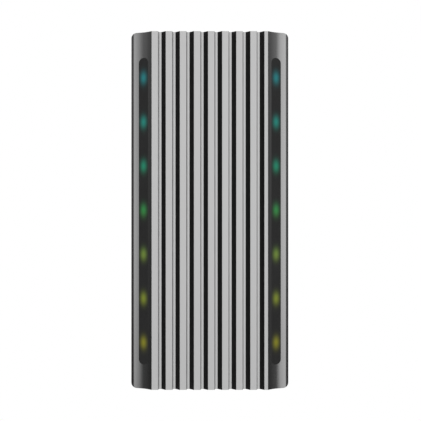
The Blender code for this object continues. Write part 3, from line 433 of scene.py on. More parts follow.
def along_z(a, b, c):
    return (a, b, c)


def new_object(name, data):
    made = bpy.data.objects.new(name, data)
    bpy.context.scene.collection.objects.link(made)
    return made


def to_object(name, builder):
    """An object in the scene from a mesh builder, which is used up."""
    bmesh.ops.recalc_face_normals(builder, faces=builder.faces)
    mesh = bpy.data.meshes.new(name)
    builder.to_mesh(mesh)
    builder.free()
    mesh.shade_smooth()
    return new_object(name, mesh)


def add_prism(builder, outline, low, high, place):
    """Adds a closed outline swept straight from low to high, with both ends capped."""
    first = [builder.verts.new(place(a, b, low)) for a, b in outline]
    last = [builder.verts.new(place(a, b, high)) for a, b in outline]
    builder.faces.new(first)
    builder.faces.new(last)
    for i in range(len(outline)):
        j = (i + 1) % len(outline)
        builder.faces.new((first[i], first[j], last[j], last[i]))


def sweep(name, outline, low, high, place=along_z):
    """A closed outline swept straight from low to high."""
    builder = bmesh.new()
    add_prism(builder, outline, low, high, place)
    return to_object(name, builder)


def turned(name, profile, centre, steps=48, place=along_z, closed=False):
    """A profile of (radius, height) turned about an axis through centre, and capped unless closed."""
    builder = bmesh.new()
    rings = []
    for radius, height in profile:
        rings.append([builder.verts.new(place(a, b, height)) for a, b in circle(radius, centre, steps)])
    if closed:
        rings.append(rings[0])
    else:
        builder.faces.new(rings[0])
        builder.faces.new(rings[-1])
    for near, far in zip(rings, rings[1:]):
        for i in range(steps):
            j = (i + 1) % steps
            builder.faces.new((near[i], near[j], far[j], far[i]))
    return to_object(name, builder)


def block(name, x_span, y_span, z_span):
    (x0, x1), (y0, y1) = x_span, y_span
    return sweep(name, [(x0, y0), (x1, y0), (x1, y1), (x0, y1)], *z_span)


def circle(radius, centre=(0.0, 0.0), steps=48):
    angles = [TURN * i / steps for i in range(steps)]
    return [(centre[0] + radius * math.cos(a), centre[1] + radius * math.sin(a)) for a in angles]


def fluted(radius, depth, count, centre):
    """A circle with shallow rounded flutes, as on a grip that is turned by hand."""
    points = []
    steps = count * 6
    for i in range(steps):
        angle = TURN * i / steps
        out = radius - depth * (0.5 - 0.5 * math.cos(count * angle))
        points.append((centre[0] + out * math.cos(angle), centre[1] + out * math.sin(angle)))
    return points


def rounded_rectangle(width, height, radius, steps=10, centre=(0.0, 0.0)):
    points = []
    for corner in range(4):
        side_x = 1 if corner in (0, 3) else -1
        side_y = 1 if corner in (0, 1) else -1
        pivot = (centre[0] + side_x * (width / 2 - radius), centre[1] + side_y * (height / 2 - radius))
        for i in range(steps + 1):
            angle = TURN / 4 * (corner + i / steps)
            points.append((pivot[0] + radius * math.cos(angle), pivot[1] + radius * math.sin(angle)))
    return points


def stadium(width, length, steps=28):
    """A long slot with half-round ends, long way along its second coordinate."""
    radius = width / 2
    straight = length / 2 - radius
    points = []
    for end in (1, -1):
        for i in range(steps + 1):
            angle = math.pi * i / steps
            points.append((end * radius * math.cos(angle), end * (straight + radius * math.sin(angle))))
    return points


def shape(piece, helper, operation):
    """Joins, cuts or keeps a piece with a helper, which isn't shown and isn't kept."""
    modifier = piece.modifiers.new(helper.name, "BOOLEAN")
    modifier.operation = operation
    modifier.object = helper
    return piece


def join(piece, helper):
    return shape(piece, helper, "UNION")


def cut(piece, helper):
    return shape(piece, helper, "DIFFERENCE")


def settle(piece):
    """Fixes a piece's modifiers into its mesh and removes the helpers they used."""
    helpers = [modifier.object for modifier in piece.modifiers if modifier.type == "BOOLEAN"]
    graph = bpy.context.evaluated_depsgraph_get()
    mesh = bpy.data.meshes.new_from_object(piece.evaluated_get(graph), depsgraph=graph)
    mesh.name = piece.name
    piece.modifiers.clear()
    piece.data = mesh
    for helper in helpers:
        if helper.name in bpy.data.objects:
            bpy.data.objects.remove(helper)
    return piece


def soften(piece, width=0.0006, segments=3, angle=32.0):
    """Rounds every sharp edge a little, and shades the flat faces flat."""
    piece.data.shade_smooth()
    bevel = piece.modifiers.new("rounded edges", "BEVEL")
    bevel.width = width
    bevel.segments = segments
    bevel.limit_method = "ANGLE"
    bevel.angle_limit = math.radians(angle)
    bevel.miter_outer = "MITER_ARC"
    weighted = piece.modifiers.new("even shading", "WEIGHTED_NORMAL")
    weighted.keep_sharp = True
    return piece


def dress(piece, slot, body=UNIT, stands_for=()):
    """Gives a piece its finish, its body, and the frame nodes that it is shown instead of."""
    piece.data.materials.clear()
    piece.data.materials.append(FINISHES[slot])
    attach(piece, body)
    if stands_for:
        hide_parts(*stands_for)
    return piece


# --- Ribbed front -----------------------------------------------------------------------------


def slat_left(index):
    return -FIELD_HALF + index * SLAT_PITCH


def step_x(y):
    """How far right of a slat's left edge its steep step is at y."""
    return SLAT_FACE + SLAT_STEP_RUN * (y - FRONT) / (LEDGE_Y - FRONT)


def make_slat(index):
    """A folded strip: raised face, steep step and ledge. The last one is a plain strip."""
    left = slat_left(index)
    back = FRONT + SLAT_SHEET
    if index == SLAT_COUNT - 1:
        outline = [(left, FRONT), (FIELD_HALF, FRONT), (FIELD_HALF, back), (left, back)]
    else:
        under = LEDGE_Y + SLAT_SHEET
        outline = [
            (left, FRONT),
            (left + SLAT_FACE, FRONT),
            (left + step_x(LEDGE_Y), LEDGE_Y),
            (left + LEDGE_END, LEDGE_Y),
            (left + LEDGE_END, under),
            (left + step_x(under) - STEP_SHEET, under),
            (left + step_x(back) - STEP_SHEET, back),
            (left, back),
        ]
    name = f"slat_{index + 1}"
    strip = soften(sweep(name + "_strip", outline, LOW_Z, HIGH_Z), 0.0005)
    return dress(strip, "slat_metal", stands_for=[name])


def make_carrier():
    """The black panel behind the slats, with a hollow slope up to the left edge of each slat."""
    under_face = FRONT + SLAT_SHEET + GAP
    under_ledge = LEDGE_Y + SLAT_SHEET + GAP
    outline = [(-FIELD_HALF, under_face)]
    for index in range(SLAT_COUNT - 1):
        left = slat_left(index)
        outline.append((left + step_x(under_face) - STEP_SHEET - GAP, under_face))
        outline.append((left + step_x(under_ledge) - STEP_SHEET - GAP, under_ledge))
        start = left + LEDGE_END + GAP
        outline.append((start, under_ledge))
        next_left = slat_left(index + 1) - GAP
        run = next_left - SLOPE_TIP - start
        for i in range(SLOPE_STEPS + 1):
            t = i / SLOPE_STEPS
            rise = t + SLOPE_SAG * (t * t - t)
            outline.append((start + run * t, LEDGE_Y + (FRONT - LEDGE_Y) * rise))
        outline.append((next_left, FRONT))
        outline.append((next_left, under_face))
    outline += [(FIELD_HALF, under_face), (FIELD_HALF, CARRIER_BACK), (-FIELD_HALF, CARRIER_BACK)]
    carrier = soften(sweep("slat_carrier", outline, LOW_Z, HIGH_Z), 0.0003, 2)
    return dress(carrier, "carrier_black", stands_for=["front_carrier"])


# --- Side shells and lenses -------------------------------------------------------------------

SWEEP_END = HALF_WIDTH - EDGE_RADIUS * (1 - math.sin(SWEEP_SLOPES[-1])) - RIB_HALF


def flank_at(run):
    """Depth behind the front plane and slope of a shell's surface, a distance out from its front edge."""
    depth = 0.0
    ends = (0.0, SWEEP_BREAK, SWEEP_END)
    for i in range(2):
        steep, flat = SWEEP_SLOPES[i], SWEEP_SLOPES[i + 1]
        radius = (ends[i + 1] - ends[i]) / (math.sin(steep) - math.sin(flat))
        slope = flat
        if run < ends[i + 1]:
            slope = math.asin(math.sin(steep) - (run - ends[i]) / radius)
        depth += radius * (math.cos(slope) - math.cos(steep))
        if run < ends[i + 1]:
            break
    return depth, slope


def flank_contour(inset):
    """(distance from the middle, y) along a shell's outer surface, set back into the wall by inset."""
    runs = [SWEEP_BREAK * i / SWEEP_STEPS[0] for i in range(SWEEP_STEPS[0])]
    beyond = SWEEP_END - SWEEP_BREAK
    runs += [SWEEP_BREAK + beyond * i / SWEEP_STEPS[1] for i in range(SWEEP_STEPS[1] + 1)]
    points = []
    for run in runs:
        depth, slope = flank_at(run)
        points.append((RIB_HALF + run - inset * math.sin(slope), FRONT + depth + inset * math.cos(slope)))
    turn = TURN / 4 - slope
    centre = (HALF_WIDTH - EDGE_RADIUS, FRONT + depth + EDGE_RADIUS * math.cos(slope))
    radius = EDGE_RADIUS - inset
    for i in range(1, EDGE_STEPS + 1):
        angle = turn * (1 - i / EDGE_STEPS)
        points.append((centre[0] + radius * math.cos(angle), centre[1] - radius * math.sin(angle)))
    return points


def slot_place(side):
    """For one side's lens slot: what puts (across, z, out) into its tilted plane, and the slot's width."""
    inner, outer = flank_at(SLOT_INNER)[0], flank_at(SLOT_OUTER)[0]
    angle = math.atan2(outer - inner, SLOT_OUTER - SLOT_INNER)
    middle_y = FRONT + (inner + outer) / 2

    def place(across, z, out):
        u = SLOT_MIDDLE_X + across * math.cos(angle) + out * math.sin(angle)
        return (side * u, middle_y + across * math.sin(angle) - out * math.cos(angle), z + SLOT_CENTRE_Z)

    return place, (SLOT_OUTER - SLOT_INNER) / math.cos(angle)


FLANK_SCREWS_Y = BODY_BACK - 0.009
FLANK_SCREWS_Z = (-0.50, -0.25, 0.0, 0.25, 0.50)


def make_side_shell(side, hand):
    """One side of the casing in bent sheet, with round corners above and below and a slot for the lens."""
    reach = 0.02

    def place(u, y, z):
        return (side * u, y, z)

    outer = flank_contour(0.0) + [(HALF_WIDTH, BODY_BACK), (RIB_HALF, BODY_BACK)]
    shell = sweep(f"flank_{hand}", outer, LOW_Z, HIGH_Z, place)
    height = HIGH_Z - LOW_Z
    corners = rounded_rectangle(2 * HALF_WIDTH, height, CORNER_RADIUS, 16)
    shape(shell, sweep("corners", corners, FRONT - reach, reach, along_y), "INTERSECT")

    open_to = RIB_HALF - reach
    inside = [point for point in flank_contour(WALL) if point[0] > RIB_HALF + WALL]
    inside = [(RIB_HALF + WALL, inside[0][1] - 0.001)] + inside
    inside += [(HALF_WIDTH - WALL, BODY_BACK + reach), (open_to, BODY_BACK + reach)]
    inside += [(open_to, LIP_BACK), (RIB_HALF + WALL, LIP_BACK)]
    hollow = sweep("hollow", inside, LOW_Z + WALL, HIGH_Z - WALL, place)
    room = rounded_rectangle(2 * (HALF_WIDTH - WALL), height - 2 * WALL, CORNER_RADIUS - WALL, 16)
    shape(hollow, sweep("room", room, FRONT - reach, 2 * reach, along_y), "INTERSECT")
    cut(shell, settle(hollow))
    lip = [(RIB_HALF - LIP_REACH, LIP_FRONT), (RIB_HALF + WALL / 2, LIP_FRONT)]
    lip += [(RIB_HALF + WALL / 2, LIP_BACK), (RIB_HALF - LIP_REACH, LIP_BACK)]
    lip_z = HIGH_Z - LIP_END_INSET
    join(shell, sweep("lip", lip, -lip_z, lip_z, place))
    slot_of, slot_width = slot_place(side)
    cut(shell, sweep("slot", stadium(slot_width, SLOT_LENGTH), *SLOT_CUT, slot_of))
    points = [(FLANK_SCREWS_Y, z) for z in FLANK_SCREWS_Z]
    well_floor = side * (HALF_WIDTH - SCREW_RECESS)
    cut(shell, recess(points, (well_floor, side * (HALF_WIDTH + CUT_PAST)), along_x))
    dress(soften(settle(shell), 0.0006), "flank_metal", stands_for=[f"side_shell_{hand}"])
    place_screws(f"flank_{hand}", [(well_floor, y, z) for y, z in points], (side, 0, 0))


def make_lens(side, hand):
    """Smoked strip, almost flush in its slot, on a wider back flange."""
    slot_of, slot_width = slot_place(side)
    face = stadium(slot_width - 2 * GAP, SLOT_LENGTH - 2 * GAP)
    strip = sweep(f"lens_{hand}_strip", face, LENS_BACK, -LENS_RECESS, slot_of)
    flange = stadium(slot_width + LENS_FLANGE_WIDER, SLOT_LENGTH + LENS_FLANGE_WIDER)
    join(strip, sweep("flange", flange, *LENS_FLANGE, slot_of))
    soften(settle(strip), 0.0005)
    return dress(strip, "lens_smoke", stands_for=[f"lens_{hand}"])


# --- Chassis, panels and bracket --------------------------------------------------------------

SCREW_RADIUS = 0.0036
SCREW_RISE = 0.0012
SCREW_RECESS = 0.0014
SCREW_CLEARANCE = 0.0005
FOLDED_SHEET = 0.003  # of the bracket and of the rails that hang on it


def make_screw_mesh():
    """Low round head with a hexagon socket, standing on the plane z = 0."""
    profile = [
        (SCREW_RADIUS / 2, -SCREW_RISE / 2),
        (SCREW_RADIUS / 2, 0.0),
        (SCREW_RADIUS, 0.0),
        (SCREW_RADIUS, SCREW_RISE * 0.55),
        (SCREW_RADIUS * 0.82, SCREW_RISE),
    ]
    head = turned("screw_head", profile, (0.0, 0.0), 32)
    cut(head, sweep("socket", circle(SCREW_RADIUS * 0.45, steps=6), SCREW_RISE * 0.3, SCREW_RISE * 2))
    soften(settle(head), 0.00012, 2)
    mesh = settle(head).data
    bpy.data.objects.remove(head)
    return mesh


SCREW_MESH = make_screw_mesh()


def place_screws(name, points, facing, body=UNIT):
    """A screw at each point with its head towards facing."""
    turn = Vector(facing).to_track_quat("Z", "Y")
    for number, point in enumerate(points):
        screw = new_object(f"{name}_screw_{number + 1}", SCREW_MESH.copy())
        screw.location = point
        screw.rotation_mode = "QUATERNION"
        screw.rotation_quaternion = turn
        dress(screw, "nickel", body)


def recess(points, depth_span, place):
    """One cutter with a round well for each screw, at points given across the face."""
    builder = bmesh.new()
    for point in points:
        outline = circle(SCREW_RADIUS + SCREW_CLEARANCE, point, 32)
        add_prism(builder, outline, *depth_span, place)
    return to_object("recess", builder)


def make_top_panel():
    """Flat lid between the shells with six sunk screws."""
    low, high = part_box("top_panel")
    panel = block("top_cover", (low.x, high.x), (low.y, high.y), (high.z - WALL, high.z))
    points = [(x, y) for x in (-0.165, 0.0, 0.165) for y in (low.y + 0.014, high.y - 0.014)]
    cut(panel, recess(points, (high.z - SCREW_RECESS, high.z + CUT_PAST), along_z))
    dress(soften(settle(panel), 0.0006), "flank_metal", stands_for=["top_panel"])
    place_screws("top_cover", [(x, y, high.z - SCREW_RECESS) for x, y in points], (0, 0, 1))


CEILING_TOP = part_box("connection_bay")[1].z
CEILING = CEILING_TOP - WALL
SEAT = CEILING - GAP
BAY_HALF_WIDTH = 0.160
BAY_Y = (-0.150, -0.045)
BAY_WALL = 0.0025
BAY_CORNER = 0.003


def make_connection_bay():
    """Underside of the casing with a deep tray, its ceiling bored for each fitting, and six sunk screws."""
    low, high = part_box("connection_bay")
    floor = block("bay_floor", (low.x, high.x), (low.y, high.y), (low.z, low.z + WALL))
    tray_x = (-BAY_HALF_WIDTH - BAY_WALL, BAY_HALF_WIDTH + BAY_WALL)
    tray_y = (BAY_Y[0] - BAY_WALL, BAY_Y[1] + BAY_WALL)
    join(floor, block("tray", tray_x, tray_y, (low.z + WALL / 2, CEILING_TOP)))
    middle_y = sum(BAY_Y) / 2
    mouth = rounded_rectangle(2 * BAY_HALF_WIDTH, BAY_Y[1] - BAY_Y[0], BAY_CORNER, 6, (0.0, middle_y))
    cut(floor, sweep("pocket", mouth, low.z - CUT_PAST, CEILING))
    for node, radius in BAY_HOLES:
        cut(floor, sweep("hole", circle(radius, middle(node)), CEILING - CUT_PAST, CEILING_TOP + CUT_PAST))
    rear, front = high.y - 0.011, low.y + 0.0105
    points = [(x, y) for x in (-0.172, 0.0, 0.172) for y in (front, rear)]
    cut(floor, recess(points, (low.z - CUT_PAST, low.z + SCREW_RECESS), along_z))
    dress(soften(settle(floor), 0.0006), "coated_steel", stands_for=["connection_bay"])
    place_screws("bay_floor", [(x, y, low.z + SCREW_RECESS) for x, y in points], (0, 0, -1))


def make_rear_chassis():
    """Back plate with pressed stiffening beads above and below the bracket, screwed on round its rim."""
    low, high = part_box("rear_chassis")
    width, height = high.x - low.x, high.z - low.z
    outline = rounded_rectangle(width, height, CORNER_RADIUS - WALL - GAP, 12)
    plate = sweep("back_plate", outline, low.y, high.y, along_y)
    bead_length, bead_width, bead_rise = 0.330, 0.012, 0.0016
    for z in (-0.545, -0.455, -0.410, -0.365, 0.365, 0.410, 0.455, 0.500):
        bead = rounded_rectangle(bead_length, bead_width, bead_width / 2, 8, (0.0, z))
        join(plate, sweep("bead", bead, high.y - 0.001, high.y + bead_rise, along_y))
    dress(soften(settle(plate), 0.0009, 3), "coated_steel", stands_for=["rear_chassis"])
    rim = 0.010
    rim_x, rim_z = width / 2 - rim, height / 2 - rim
    points = [(side * rim_x, high.y, z) for side in (-1, 1) for z in (-0.42, -0.21, 0.0, 0.21, 0.42)]
    points += [(x, high.y, side * rim_z) for side in (-1, 1) for x in (-0.16, 0.0, 0.16)]
    place_screws("back_plate", points, (0, 1, 0))


def make_hanger_rail(which):
    """Folded hook that drops behind the bracket's cleat."""
    node = f"hanger_rail_{which}"
    low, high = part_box(node)
    sheet, flange = FOLDED_SHEET, 0.018
    foot = low.y + sheet
    shelf = high.z - flange
    outline = [
        (low.y, high.z - 2 * flange),
        (foot, high.z - 2 * flange),
        (foot, shelf),
        (high.y - sheet, shelf),
        (high.y - sheet, low.z),
        (high.y, low.z),
        (high.y, shelf + sheet),
        (foot, shelf + sheet),
        (foot, high.z),
        (low.y, high.z),
    ]
    rail = soften(sweep(f"rail_{which}", outline, low.x, high.x, along_x), 0.0005)
    dress(rail, "zinc_steel", stands_for=[node])


BRACKET_HOLE_RADIUS = 0.0045
BRACKET_HOLES = [(side * 0.150, z) for z in (0.300, 0.100, -0.100, -0.315) for side in (-1, 1)]


def make_wall_bracket():
    """Zinc plated sheet with two folded cleats, screw holes and pressed grooves down its back."""
    low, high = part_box("wall_bracket")
    sheet, lip = FOLDED_SHEET, 0.025
    outline = rounded_rectangle(high.x - low.x, high.z - low.z, 0.012, 10)
    plate = sweep("bracket_plate", outline, -sheet, high.y, along_y)
    cleat_half, drop = high.x - 0.010, 0.010
    for which in ("upper", "lower"):
        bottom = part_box(f"hanger_rail_{which}")[0].z - drop
        fold = [
            (-sheet / 2, bottom),
            (-sheet / 2, bottom + sheet),
            (low.y + sheet, bottom + sheet),
            (low.y + sheet, bottom + sheet + lip),
            (low.y, bottom + sheet + lip),
            (low.y, bottom),
        ]
        join(plate, sweep("cleat", fold, -cleat_half, cleat_half, along_x))
    for centre in BRACKET_HOLES:
        cut(plate, sweep("hole", circle(BRACKET_HOLE_RADIUS, centre, 32), -0.02, CUT_PAST, along_y))
    for x in (-0.095, 0.0, 0.095):
        for z in (-0.100, 0.100):
            groove = rounded_rectangle(0.014, 0.150, 0.007, 8, (x, z))
            cut(plate, sweep("groove", groove, high.y - 0.0012, high.y + CUT_PAST, along_y))
    dress(soften(settle(plate), 0.0006), "zinc_steel", stands_for=["wall_bracket"])


def make_wall_bumper(hand):
    """Ringed rubber foot against the wall."""
    node = f"wall_bumper_{hand}"
    low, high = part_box(node)
    centre = ((low.x + high.x) / 2, (low.z + high.z) / 2)
    radius = (high.x - low.x) / 2
    profile = [(radius - 0.0015, low.y), (radius, low.y + 0.0015)]
    bottom = radius - 0.001
    for groove in (0.008, 0.013):
        y = low.y + groove
        profile += [(radius, y), (bottom, y + 0.0005), (bottom, y + 0.0015), (radius, y + 0.002)]
    profile += [(radius, high.y - 0.002), (radius - 0.002, high.y)]
    foot = soften(turned(f"bumper_{hand}", profile, centre, place=along_y), 0.0003, 2)
    dress(foot, "rubber", stands_for=[node])


# --- Connections in the bay -------------------------------------------------------------------

BAY_HOLES = (  # the radius of the hole in the bay's ceiling for each fitting
    ("isolator_base", 0.0080),
    ("power_button", 0.0098),
    ("pressure_vent", 0.0060),
    ("dc_socket_positive", 0.0090),
    ("dc_socket_negative", 0.0090),
    ("cable_gland_rear", 0.0100),
    ("cable_gland_front", 0.0100),
    ("earth_stud", 0.0030),
)
KNOB_TOP = SEAT - 0.0065
KNOB_RADIUS = 0.0225
KNOB_THICKNESS = 0.0065
SPINDLE_RADIUS = 0.0030
ISOLATOR_PLATE = 0.062
ISOLATOR_SCREW = 0.0255  # sideways and lengthwise from the knob's axis
PLATE_DROP = 0.004
PRINT_SPAN = (-0.0002, 0.0004)  # a raised mark, from its face to its root


def make_isolator_base():
    """Square plate, raised collar and the switch above the ceiling. A bar marks off, a ring marks on."""
    x, y = middle("isolator_base")
    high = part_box("isolator_base")[1].z
    outline = rounded_rectangle(ISOLATOR_PLATE, ISOLATOR_PLATE, 0.006, 10, (x, y))
    plate = sweep("isolator_plate", outline, SEAT - PLATE_DROP, SEAT)
    join(plate, sweep("collar", circle(0.025, (x, y), 64), SEAT - 0.006, SEAT - 0.003))
    join(plate, sweep("neck", circle(0.0077, (x, y), 32), SEAT - 0.001, high - 0.020))
    join(plate, sweep("switch", rounded_rectangle(0.046, 0.046, 0.004, 4, (x, y)), high - 0.030, high))
    cut(plate, sweep("bore", circle(SPINDLE_RADIUS + 0.0002, (x, y), 32), SEAT - 0.02, high - 0.017))
    dress(soften(settle(plate), 0.0005), "dark_plastic", stands_for=["isolator_base"])
    ends = (-ISOLATOR_SCREW, ISOLATOR_SCREW)
    points = [(x + a, y + b, SEAT - PLATE_DROP) for a in ends for b in ends]
    place_screws("isolator_plate", points, (0, 0, -1))
    face, root = (SEAT - PLATE_DROP + step for step in PRINT_SPAN)
    off = block("isolator_mark_off", (x - 0.0009, x + 0.0009), (y - 0.0300, y - 0.0260), (face, root))
    dress(soften(off, 0.0001, 2), "white_plastic")
    inner, outer = 0.0012, 0.0021
    ring = [(inner, face), (outer, face), (outer, root), (inner, root)]
    dress(turned("isolator_mark_on", ring, (x + 0.0280, y), closed=True), "white_plastic")


def make_isolator_knob():
    """Fluted disc with a waisted grip and a white pointer, on the switch's spindle."""
    x, y = middle("isolator_knob")
    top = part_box("isolator_knob")[1].z
    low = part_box("isolator_knob")[0].z
    disc = sweep("knob_disc", fluted(KNOB_RADIUS, 0.0006, 36, (x, y)), KNOB_TOP - KNOB_THICKNESS, KNOB_TOP)
    join(disc, sweep("spindle", circle(SPINDLE_RADIUS, (x, y), 32), KNOB_TOP - 0.001, top))
    half_length, half_width, waist, steps = 0.0208, 0.0060, 0.0016, 16
    edge = []
    for i in range(steps + 1):
        along = half_length * (2 * i / steps - 1)
        edge.append((half_width - waist * math.cos(math.pi / 2 * along / half_length) ** 2, along))
    grip = [(x + a, y + b) for a, b in edge] + [(x - a, y + b) for a, b in reversed(edge)]
    join(disc, sweep("grip", grip, low, KNOB_TOP - 0.003))
    dress(soften(settle(disc), 0.0007), "red_plastic", "isolator_knob", ["isolator_knob"])
    span = [low + step for step in PRINT_SPAN]
    pointer = block("knob_pointer", (x - 0.0007, x + 0.0007), (y - 0.0175, y - 0.0060), span)
    dress(soften(pointer, 0.0001, 2), "white_plastic", "isolator_knob")


def make_button_bezel():
    """Nickel ring round the button."""
    x, y = middle("button_bezel")
    low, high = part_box("button_bezel")
    outer, inner = (high.x - low.x) / 2, 0.0079
    profile = [
        (inner, low.z + 0.0006),
        (inner + 0.0006, low.z),
        (outer - 0.0012, low.z),
        (outer - 0.0004, low.z + 0.0004),
        (outer, low.z + 0.0012),
        (outer, SEAT),
        (0.0095, SEAT),
        (0.0095, high.z),
        (inner, high.z),
    ]
    bezel = soften(turned("bezel_ring", profile, (x, y), 64, closed=True), 0.00015, 2)
    dress(bezel, "nickel", stands_for=["button_bezel"])


def make_power_button():
    """Round button with a dished face and a raised rim."""
    x, y = middle("power_button")
    low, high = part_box("power_button")[0].z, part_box("power_button")[1].z
    radius, collar = 0.0075, 0.0091
    profile = [
        (0.0020, low + 0.0009),
        (0.0045, low + 0.0007),
        (0.0056, low + 0.0002),
        (0.0062, low),
        (0.0069, low + 0.0003),
        (radius, low + 0.0012),
        (radius, high - 0.0015),
        (collar, high - 0.0015),
        (collar, high),
    ]
    button = soften(turned("button_cap", profile, (x, y), 64), 0.00015, 2, 50.0)
    dress(button, "dark_plastic", "power_button", ["power_button"])


def make_pressure_vent():
    """Domed breather with slots round its side."""
    x, y = middle("pressure_vent")
    low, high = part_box("pressure_vent")
    radius = (high.x - low.x) / 2
    drop = SEAT - low.z
    profile = [
        (0.0030, low.z),
        (0.0065, low.z + 0.0006),
        (0.0092, low.z + 0.0018),
        (0.0106, low.z + 0.0036),
        (radius, low.z + 0.0056),
        (radius, SEAT),
        (0.0057, SEAT),
        (0.0057, high.z),
    ]
    dome = turned("vent_dome", profile, (x, y), 48)
    builder = bmesh.new()
    slots = 10
    corners = [(0.0072, -0.0007), (0.0150, -0.0007), (0.0150, 0.0007), (0.0072, 0.0007)]
    for i in range(slots):
        angle = TURN * (i + 0.5) / slots
        along = Vector((math.cos(angle), math.sin(angle)))
        across = Vector((-math.sin(angle), math.cos(angle)))
        outline = [Vector((x, y)) + along * a + across * b for a, b in corners]
        add_prism(builder, outline, low.z + drop * 0.50, low.z + drop * 0.82, along_z)
    cut(dome, to_object("slots", builder))
    dress(soften(settle(dome), 0.0002, 2), "dark_plastic", stands_for=["pressure_vent"])


def make_dc_socket(sign, slot):
    """Round connector: flanged dark body and a ribbed sealing cap in the pole's colour."""
    node = f"dc_socket_{sign}"
    x, y = middle(node)
    low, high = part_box(node)
    flange = (high.x - low.x) / 2
    profile = [
        (0.0112, SEAT - 0.0088),
        (0.0120, SEAT - 0.0080),
        (0.0120, SEAT - 0.0050),
        (flange - 0.0006, SEAT - 0.0050),
        (flange, SEAT - 0.0042),
        (flange, SEAT),
        (0.0087, SEAT),
        (0.0087, high.z),
    ]
    body = soften(turned(f"dc_body_{sign}", profile, (x, y), 64), 0.0002, 2)
    dress(body, "dark_plastic", stands_for=[node])
    ribs = sweep(f"dc_cap_{sign}", fluted(0.0105, 0.0005, 20, (x, y)), low.z + 0.0016, SEAT - 0.0090)
    crown = [(0.0040, low.z + 0.0008), (0.0052, low.z), (0.0082, low.z), (0.0092, low.z + 0.0006)]
    crown += [(0.0096, low.z + 0.0020), (0.0096, low.z + 0.0030)]
    join(ribs, turned("crown", crown, (x, y), 64))
    dress(soften(settle(ribs), 0.0002, 2), slot)


def make_cable_gland(where):
    """Hexagon body, ribbed sealing nut and a blanking plug with a driver slot."""
    node = f"cable_gland_{where}"
    x, y = middle(node)
    low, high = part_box(node)
    body = circle((high.x - low.x) / 2, (x, y), 6)
    hexagon = sweep(f"gland_body_{where}", body, SEAT - 0.007, SEAT)
    join(hexagon, sweep("neck", circle(0.0097, (x, y), 32), SEAT - 0.001, high.z))
    dress(soften(settle(hexagon), 0.0005), "dark_plastic", stands_for=[node])
    nut = sweep(f"gland_nut_{where}", fluted(0.0117, 0.0007, 18, (x, y)), low.z + 0.0075, SEAT - 0.0073)
    dome = [
        (0.0066, low.z + 0.0006),
        (0.0078, low.z + 0.0002),
        (0.0090, low.z + 0.0012),
        (0.0102, low.z + 0.0034),
        (0.0110, low.z + 0.0062),
        (0.0110, low.z + 0.0090),
    ]
    join(nut, turned("dome", dome, (x, y), 48))
    dress(soften(settle(nut), 0.0002, 2), "dark_plastic")
    plug = sweep(f"gland_plug_{where}", circle(0.0060, (x, y), 48), low.z, low.z + 0.002)
    depth = (low.z - 0.001, low.z + 0.0008)
    cut(plug, block("slot", (x - 0.0045, x + 0.0045), (y - 0.0006, y + 0.0006), depth))
    dress(soften(settle(plug), 0.0002, 2), "rubber")


def make_earth_stud():
    """Threaded stud with a washer and a hexagon nut."""
    x, y = middle("earth_stud")
    low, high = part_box("earth_stud")
    radius, pitch, turns = 0.0027, 0.0008, 19
    root = radius - 0.0004
    profile = [(radius - 0.0008, low.z)]
    for i in range(turns):
        z = low.z + 0.0004 + pitch * i
        profile += [(root, z), (radius, z + pitch / 2)]
    profile += [(root, SEAT + 0.0002), (root, high.z)]
    stud = turned("earth_thread", profile, (x, y), 32)
    dress(stud, "nickel", stands_for=["earth_stud"])
    washer = [(0.0031, SEAT - 0.0012), (0.0072, SEAT - 0.0012), (0.0072, SEAT), (0.0031, SEAT)]
    dress(soften(turned("earth_washer", washer, (x, y), 48, closed=True), 0.0001, 2), "nickel")
    for number, (top, thickness) in enumerate(((SEAT - 0.0014, 0.0040), (SEAT - 0.0058, 0.0026))):
        nut = sweep(f"earth_nut_{number + 1}", circle(0.0063, (x, y), 6), top - thickness, top)
        cut(nut, sweep("thread", circle(0.0029, (x, y), 32), top - CUT_PAST, top + CUT_PAST))
        dress(soften(settle(nut), 0.0004), "nickel")


PORT_DROP = 0.018
PORT_EAR = 0.006
PIN_RADIUS = 0.0015
PIN_BORE = PIN_RADIUS + 0.0001
JACK_SIZE = (0.0118, 0.0085, 0.0130)
JACK_OFFSET = 0.012
CONTACTS = 8
CONTACT_PITCH = 0.00115


def pin_axis():
    """(y, z) of the port door's hinge pin."""
    low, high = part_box("port_door_pin")
    return (low.y + high.y) / 2, (low.z + high.z) / 2


